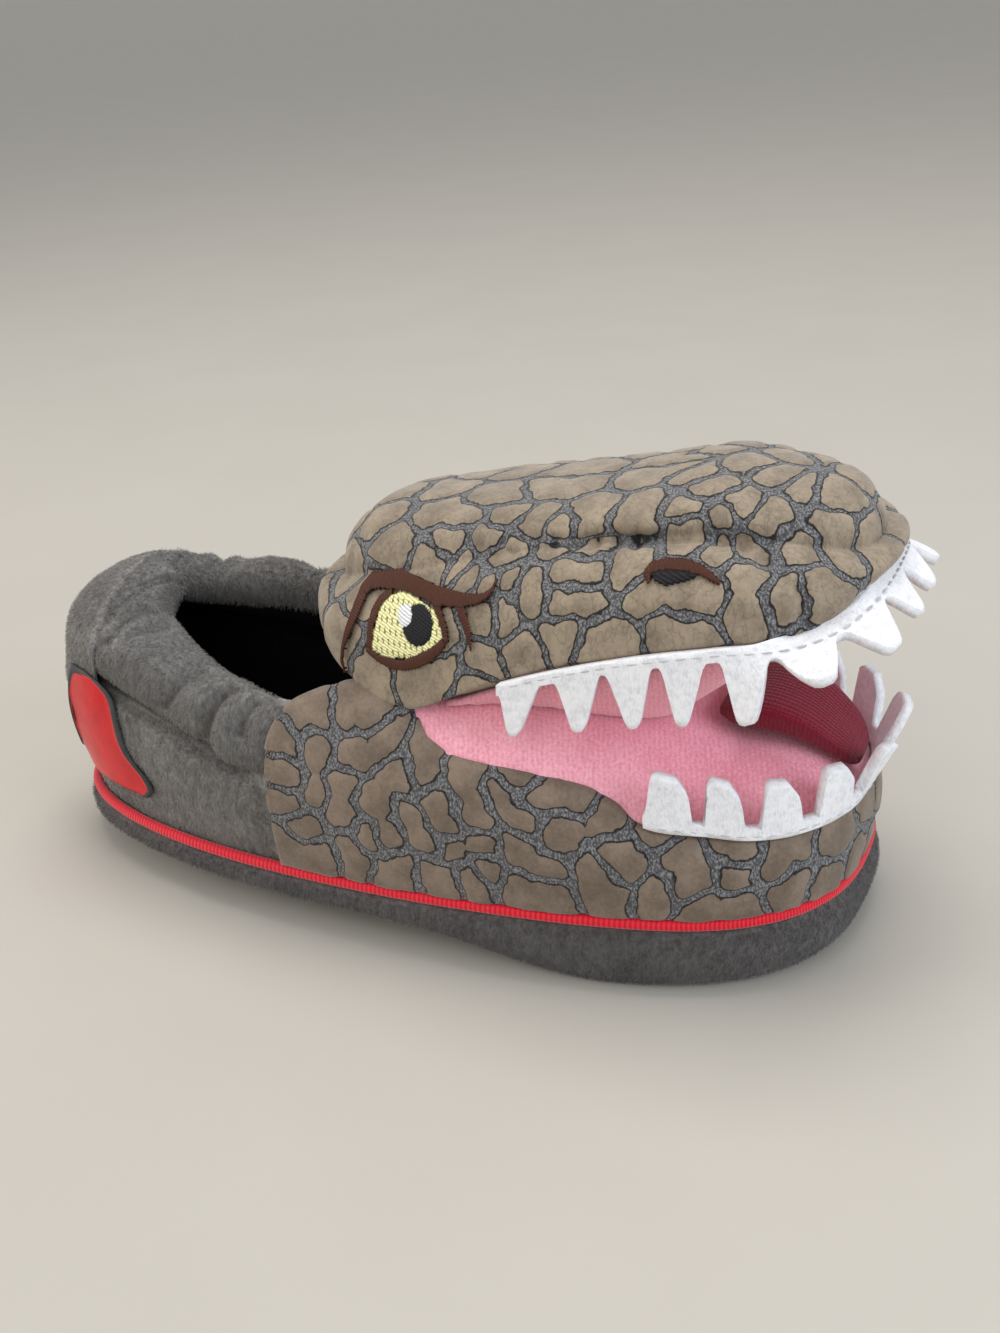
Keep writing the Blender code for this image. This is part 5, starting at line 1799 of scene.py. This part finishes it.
@dataclass(frozen=True)
class HeelPatch:
    """A plain soft patch with a raised rim, laid over what is under it on the heel."""

    upper: UpperForm
    under: tuple[str, ...] = ("plush_upper", "collar_roll", "heel_counter")
    low: float = 21.8
    lift: float = 0.9
    thickness: float = 1.0
    rim_rise: float = 0.45
    rim_width: float = 1.4
    mm_per_turn: float = 1.05
    columns: int = 160
    rows: int = 56
    leading: int = 4
    evening: int = 28
    sight_from: float = 40.0
    jaw_at: float = -25.5
    piping_at: float = 15.0
    top: Profile = Profile(
        (0, 25.5), (0.50, 26.0), (0.58, 29.0), (0.635, 35.0), (0.67, 43.0), (0.72, 48.5), (0.79, 51.8),
        (0.87, 53.0), (1.0, 53.2),
    )
    half_turn: Profile = Profile(
        (21.8, 51.5), (24.5, 53.2), (28.3, 52.3), (30.3, 51.0), (32.5, 49.6), (34.8, 48.8), (37.9, 48.2),
        (41.8, 47.8), (45.5, 47.3), (48, 46.6), (50, 45.5), (51.6, 43.8), (52.6, 41.8), (53.2, 39.5),
    )

    def height(self, u: Array, v: Array) -> Array:
        """Heights over the floor; the top edge dips at the middle of the heel."""
        return self.low + (self.top(np.abs(2 * u - 1)) - self.low) * v

    def inside(self, u: Array, v: Array) -> Array:
        """Distance in from the sides and the top."""
        height = self.height(u, v)
        from_side = (1 - np.abs(2 * u - 1)) * self.half_turn(height) * self.mm_per_turn
        return np.minimum(from_side, self.top(np.abs(2 * u - 1)) - height)

    def place(self, u: Array, v: Array) -> Array:
        """Points of the patch for u round the heel and v up it."""
        height = self.height(u, v)
        turn = math.pi + np.radians(self.half_turn(height)) * (2 * u - 1)
        rim = np.sin(math.pi * np.clip(self.inside(u, v) / self.rim_width, 0, 1))
        skin = self.upper.at_line(turn, 0.0, lambda _: height)
        out = self.upper.outward(turn)
        met, _ = sight(self.under, skin + self.sight_from * out, -out)
        bulk = self.evened(np.nan_to_num(((met - skin) * out).sum(-1)), u, v)
        return skin + out * (bulk + self.lift + self.rim_rise * rim)[..., None]

    def evened(self, values: Array, u: Array, v: Array) -> Array:
        """Values over the patch's grid, led up to their high places and smoothed."""
        at = np.rint(u * self.columns).astype(int), np.rint(v * self.rows).astype(int)
        grid = np.zeros((self.columns + 1, self.rows + 1))
        grid[at] = values
        for turn in range(self.evening):
            edged = np.pad(grid, 1, mode="edge")
            around = np.stack([edged[:-2, 1:-1], edged[2:, 1:-1], edged[1:-1, :-2], edged[1:-1, 2:]])
            grid = np.maximum(grid, around.max(0)) if turn < self.leading else around.mean(0)
        return grid[at]

    def covers(self, at: Array) -> Array:
        """Which places of the upper lie under the patch."""
        sole, (x, y, z) = self.upper.sole, at.T
        across = (y - sole.middle(x)) / (sole.half_width(x, y - sole.middle(x)) - self.upper.inset)
        ahead = x / (sole.half_length - self.upper.inset)
        share = np.degrees(np.arctan2(np.abs(across), -ahead)) / self.half_turn(z)
        return (share < 1) & (z > self.low) & (z < self.top(share))

    def leaves(self, at: Array) -> Array:
        """Which places of the upper show round the patch, behind the jaw panel and over the piping."""
        return (at[:, 0] < self.jaw_at) & (at[:, 2] > self.piping_at) & ~self.covers(at)

    def build(self, finishes: Wardrobe) -> None:
        """Make the patch."""
        bm = face_away(bent_grid(self.columns, self.rows, self.place), INSIDE)
        uv = bm.loops.layers.uv.active
        for face in bm.faces:
            u, v = np.mean([loop[uv].uv for loop in face.loops], axis=0)
            face.material_index = int(self.inside(u, v) < self.rim_width)
        piece = Piece("heel_patch_moulded", bm, finishes["patch_red"], finishes["patch_rim"])
        piece.thicken(self.thickness, -1)
        piece.declare("patch_red", "heel_patch")


@dataclass(frozen=True)
class Stage:
    """Pale floor, soft lights and the camera."""

    azimuth: float = 25.91
    elevation: float = 25.97
    roll: float = -4.6
    distance: float = 369.86
    focal_pixels: float = 1495.72
    photo_height: float = 1333.0
    sensor: float = 36.0
    aim: float = 45.0
    aim_right: float = 14.99
    aim_up: float = 4.80
    floor_size: float = 40.0
    floor_drop: float = 0.0002
    lamps_aim: Spot = (0.0, 0.0, 0.05)
    sky_colour: tuple[float, ...] = (0.96, 0.97, 1.0, 1.0)
    sky_strength: float = 0.58

    def floor(self) -> None:
        """A wide pale floor."""
        bm = bmesh.new()
        bmesh.ops.create_grid(bm, x_segments=1, y_segments=1, size=self.floor_size)
        bmesh.ops.translate(bm, verts=bm.verts, vec=(0, 0, -self.floor_drop))
        shader = Shader("pale_floor", roughness=0.6)
        tone = shader.step(shader.noise(60.0, 3.0), 0.3, 0.7)
        colour = shader.mix(tone, (0.478, 0.452, 0.398), (0.488, 0.462, 0.408))
        piece = Piece("floor", bm, shader.finish(colour))

    def lamp(self, name: str, place: Spot, size: float, power: float, colour: Colour) -> None:
        """A square soft light that looks at the slipper.

        Args:
            name: its name.
            place: where it is, in metres.
            size: its side, in metres.
            power: its power in watts.
            colour: its colour.
        """
        light = bpy.data.lights.new(name, "AREA")
        light.size = size
        light.energy = power
        light.color = colour
        lamp = bpy.data.objects.new(name, light)
        lamp.location = place
        lamp.rotation_euler = (Vector(self.lamps_aim) - Vector(place)).to_track_quat("-Z", "Y").to_euler()
        bpy.context.scene.collection.objects.link(lamp)

    def lights(self) -> None:
        """Sky, a key from above, a cool fill at the toe, a warm window at the heel and a front light."""
        world = bpy.data.worlds.new("studio")
        bpy.context.scene.world = world
        world.use_nodes = True
        sky = world.node_tree.nodes["Background"].inputs
        sky["Color"].default_value = self.sky_colour
        sky["Strength"].default_value = self.sky_strength
        self.lamp("key", (-0.05, 0.20, 1.20), size=0.7, power=8.0, colour=(1.0, 0.97, 0.94))
        self.lamp("fill", (0.90, -0.20, 0.42), size=0.6, power=4.8, colour=(0.80, 0.88, 1.0))
        self.lamp("window", (-0.85, -0.40, 0.34), size=0.5, power=3.2, colour=(1.0, 0.95, 0.87))
        self.lamp("front", (0.05, -1.00, 0.80), size=0.8, power=2.4, colour=(1.0, 0.98, 0.96))
        bpy.context.scene.view_settings.view_transform = "Standard"

    def camera(self) -> None:
        """The camera that stands where the photograph was taken."""
        a, e, r = (math.radians(angle) for angle in (self.azimuth, self.elevation, self.roll))
        back = Vector((math.sin(a) * math.cos(e), -math.cos(a) * math.cos(e), math.sin(e)))
        right = Vector((math.cos(a), math.sin(a), 0.0))
        up = back.cross(right)
        target = Vector((0.0, 0.0, self.aim)) + right * self.aim_right + up * self.aim_up
        axes = math.cos(r) * right + math.sin(r) * up, math.cos(r) * up - math.sin(r) * right, back
        lens = bpy.data.cameras.new("photo_camera")
        lens.lens = self.focal_pixels * self.sensor / self.photo_height
        camera = bpy.data.objects.new("photo_camera", lens)
        pose = Matrix(axes).transposed().to_4x4()
        pose.translation = (target + back * self.distance) * MM
        camera.matrix_world = pose
        bpy.context.scene.collection.objects.link(camera)
        bpy.context.scene.camera = camera

    def build(self) -> None:
        """Set up the whole stage."""
        self.floor()
        self.lights()
        self.camera()


@dataclass(frozen=True)
class Pile:
    """Short brushed fibres that stand on a plush piece, as narrow blades."""

    name: str
    cloth: str
    slot: str
    count: int
    keep: Callable[[Array, Array], Array]
    length: float = 1.7
    width: float = 0.2
    sunk: float = 0.35
    stand: float = 0.55
    stray: float = 0.5
    lengths: Pair = (0.7, 1.25)
    twist: float = 0.4
    tip: float = 0.3
    nap: Spot = (-0.35, 0.0, -0.94)
    nap_size: float = 16.0
    swirl: float = 0.8
    seed: int = 5

    def roots(self, rng: np.random.Generator) -> tuple[Array, Array]:
        """Even places on the piece's own plush, in millimetres, and the directions out of it there."""
        mesh = bpy.data.meshes[self.cloth]
        mesh.calc_loop_triangles()
        corners = np.array([tri.vertices for tri in mesh.loop_triangles if tri.material_index == 0])
        places = np.array([vert.co for vert in mesh.vertices]) / MM
        normals = np.array([vert.normal for vert in mesh.vertices])
        corners = corners[self.keep(places[corners].mean(1), normals[corners].mean(1))]
        a, b, c = (places[corners[:, i]] for i in range(3))
        area = np.linalg.norm(np.cross(b - a, c - a), axis=1)
        chosen = corners[rng.choice(len(corners), self.count, p=area / area.sum())]
        share = rng.dirichlet((1.0, 1.0, 1.0), self.count)[..., None]
        return (places[chosen] * share).sum(1), unit((normals[chosen] * share).sum(1))

    def build(self, finishes: Wardrobe) -> None:
        """Make the fibres from a row of separate faces."""
        rng = np.random.default_rng(self.seed)
        roots, outs = self.roots(rng)
        swirl = self.swirl * noise_shift(roots, self.nap_size)
        lying = np.array(self.nap) + swirl + self.stray * rng.normal(size=roots.shape)
        lying = unit(lying - outs * (lying * outs).sum(1, keepdims=True))
        lengths = self.length * rng.uniform(*self.lengths, self.count)
        along = unit(lying + outs * self.stand) * lengths[:, None]
        twisted = np.cross(along, outs) + self.twist * rng.normal(size=roots.shape)
        across = unit(twisted) * self.width / 2
        bm = bmesh.new()
        bmesh.ops.create_grid(bm, x_segments=self.count, y_segments=1, size=0.5)
        bmesh.ops.split_edges(bm, edges=[edge for edge in bm.edges if not edge.is_boundary])
        verts = [vert for face in bm.faces for vert in face.verts]
        flat = np.array([vert.co.xy for vert in verts]).reshape(-1, 4, 2)
        tip = (flat[..., 1] > 0)[..., None]
        side = np.sign(flat[..., 0] - flat[..., 0].mean(1, keepdims=True))[..., None]
        spread = across[:, None] * side * np.where(tip, self.tip, 1.0)
        places = (roots - outs * self.sunk)[:, None] + along[:, None] * tip + spread
        for vert, place in zip(verts, places.reshape(-1, 3) * MM):
            vert.co = place
        material = bpy.data.meshes[self.cloth].materials[0]
        Piece(self.name, bm, material).declare(self.slot)


EYE_BOX = (-9, 64, 36, 92)
NOSTRIL_BOX = (62, 91, 83, 101)
SOLE_SIDE = 0.75  # how upright the sole's normals may be where it has pile
EYE_MARKS = (
    Blot(Thread.YELLOW, (
        (2.8, 72.5), (3.0, 77), (3.5, 80.5), (5, 82.8), (9.1, 84.8), (12, 84.2), (18, 83), (20.8, 80),
        (22, 78.2), (18.4, 75.2), (12.7, 72.6), (7, 71.8),
    ), Thread.OLIVE),
    Blot(Thread.BLACK, oval(14.6, 79.3, 4.1, 3.9)),
    Blot(Thread.WHITE, (
        (8.9, 82), (11.6, 82.6), (12.6, 81), (12.7, 79.8), (11.6, 78.6), (10.1, 78.5), (9.1, 80),
    )),
    Stroke((
        (5.2, 83.6, 1.5), (3.3, 82, 1.9), (2.4, 80.2, 2.1), (2.0, 77.9, 2.0), (2.0, 72.6, 1.6),
    )),
    Stroke((
        (1.9, 72.3, 1.5), (4.7, 71.2, 1.8), (8, 70.7, 2.3), (11.5, 70.9, 2.5), (14.9, 72.2, 2.7),
        (17.9, 73.9, 2.5), (20.4, 75.8, 2.2), (22.2, 78, 1.4),
    )),
    Stroke(((18.2, 83.8, 1.6), (20, 82.3, 1.6), (21.5, 80.3, 1.6), (22.3, 78.3, 1.4))),
    Stroke((
        (24.9, 84.3, 2.0), (26.4, 82.4, 2.0), (27.6, 80.4, 1.7), (28.2, 78.5, 1.2), (28.6, 76.9, 0.5),
    )),
    Stroke((
        (-6, 64.3, 0.5), (-6.3, 67.7, 0.8), (-5.7, 70.8, 1.1), (-4.7, 73.7, 1.7), (-3.8, 76.2, 2.2),
        (-3.1, 78.2, 2.5), (-2.6, 80.6, 2.7), (-2.4, 82.4, 2.9), (-1, 84, 3.0), (1.9, 85.0, 3.3),
        (6.4, 85.7, 3.2), (10.2, 85.8, 3.1), (14, 85.6, 3.1), (18.4, 85.1, 3.3), (22.5, 85.3, 2.9),
        (25.8, 85.7, 2.4), (28.7, 86.3, 2.0), (30.5, 87.1, 1.6), (31.7, 88.2, 1.4), (32.5, 89.8, 0.8),
    )),
)
NOSTRIL_MARKS = (
    Blot(Thread.BLACK, (
        (65.8, 95.2), (67, 94.2), (69.5, 93.4), (73, 94.2), (75.5, 95), (76, 96), (72.5, 96.5), (69, 96.4),
        (66.5, 95.8),
    )),
    Stroke((
        (66, 94, 1.1), (65.3, 95.2, 1.5), (66.2, 96, 1.7), (69, 96.7, 1.8), (72.5, 96.8, 1.7),
        (76, 96.2, 1.6), (78.5, 95.2, 1.4), (80, 94.4, 0.9),
    )),
)
UPPER_TEETH = (
    Tooth(x=7, width=12.5, length=8.0, flare=45.0),
    Tooth(x=21, width=12.5, length=8.5, flare=58.0),
    Tooth(x=35, width=12.0, length=9.0, flare=74.0),
    Tooth(x=47, width=9.6, length=13.0, flare=16.0),
    Tooth(x=59, width=9.3, length=13.0, flare=6.0),
    Tooth(x=70, width=9.8, length=12.6, flare=5.0, lean=-1.0),
    Tooth(x=81, width=10.2, length=11.8, flare=5.0),
    Tooth(x=94.5, width=9.8, length=10.0, flare=5.0, lean=1.8),
)
LOWER_TEETH = (
    Tooth(x=8, width=9.5, length=12.0, flare=27.0),
    Tooth(x=22, width=9.5, length=11.5, flare=9.0),
    Tooth(x=35.5, width=8.7, length=11.5, flare=5.0),
    Tooth(x=47.5, width=8.4, length=11.5, flare=4.0),
    Tooth(x=59.5, width=9.8, length=11.5, flare=4.0, lean=-1.0),
)
POINTED = (
    (-0.5, 0.0), (-0.43, 0.1), (-0.16, 0.9), (-0.07, 1.0), (0.07, 1.0), (0.16, 0.9), (0.43, 0.1), (0.5, 0.0),
)
BLUNT = ((-0.5, 0.0), (-0.42, 0.9), (-0.3, 1.0), (0.12, 0.95), (0.4, 0.6), (0.5, 0.0))


def make_teeth(head: HeadForm) -> tuple[Teeth, Teeth]:
    """Both rows of teeth: pointed ones under the upper lip, blunt ones on the lower lip."""
    upper = head.upper

    def upper_edge(turn: Array) -> Array:
        """The sewn edge of the upper strip."""
        return head.lip(turn) + head.out(turn) * (FELT / 2 + GAP) - UP * GAP

    def lower_edge(turn: Array) -> Array:
        """The sewn edge of the lower strip."""
        return upper.at_line(turn, LOWER_STRIP_LIFT, lambda x: upper.lower_lip(x) + LAY)

    return (
        Teeth(
            "upper_felt_teeth", "upper_teeth", UPPER_TEETH, POINTED,
            reach=100.0, band=2.2, rises=-1, edge=upper_edge, out=head.out,
        ),
        Teeth(
            "lower_felt_teeth", "lower_teeth", LOWER_TEETH, BLUNT,
            reach=64.8, band=2.5, rises=1, edge=lower_edge, out=upper.outward,
        ),
    )


def main() -> None:
    """Build the slipper and its stage."""
    logging.basicConfig(level=logging.INFO, format="%(message)s")
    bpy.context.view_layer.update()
    noise.seed_set(NOISE_SEED)
    finishes = {finish.name: finish.material() for finish in FINISHES}
    sole = SoleForm()
    upper = UpperForm(sole)
    floor = MouthFloor(upper)
    head = HeadForm(upper, resting_tree(upper, LAY + floor.thickness))
    collar, patch = Collar(upper), HeelPatch(upper)

    def on_collar(at: Array, _: Array) -> Array:
        """Which places of the roll have pile."""
        return collar.furry(at) & ~patch.covers(at)

    def on_quarter(at: Array, _: Array) -> Array:
        """Which places of the upper have pile."""
        return patch.leaves(at) & collar.uncreased(at)

    pieces = (
        Sole(sole),
        Insole(sole),
        Piping(upper),
        Shell(upper, collar),
        collar,
        HeelCounter(upper, collar),
        JawPanel(upper),
        floor,
        Head(head),
        Tongue(sole),
        *make_teeth(head),
        Embroidery("eye_stitching", "eye", "eye_thread", EYE_BOX, EYE_MARKS),
        Embroidery("nostril_stitching", "nostril", "nostril_thread", NOSTRIL_BOX, NOSTRIL_MARKS),
        patch,
        Pile("collar_pile", "collar_roll", "collar_plush", 60000, on_collar),
        Pile("quarter_pile", "plush_upper", "upper_plush", 37000, on_quarter),
        Pile("counter_pile", "heel_counter", "upper_plush", 15000, lambda at, _: patch.leaves(at)),
        Pile("sole_pile", "plush_sole", "grey_plush", 45000, lambda _, out: np.abs(out[:, 2]) < SOLE_SIDE),
    )
    for piece in pieces:
        piece.build(finishes)
    Stage().build()


if __name__ == "__main__":
    main()
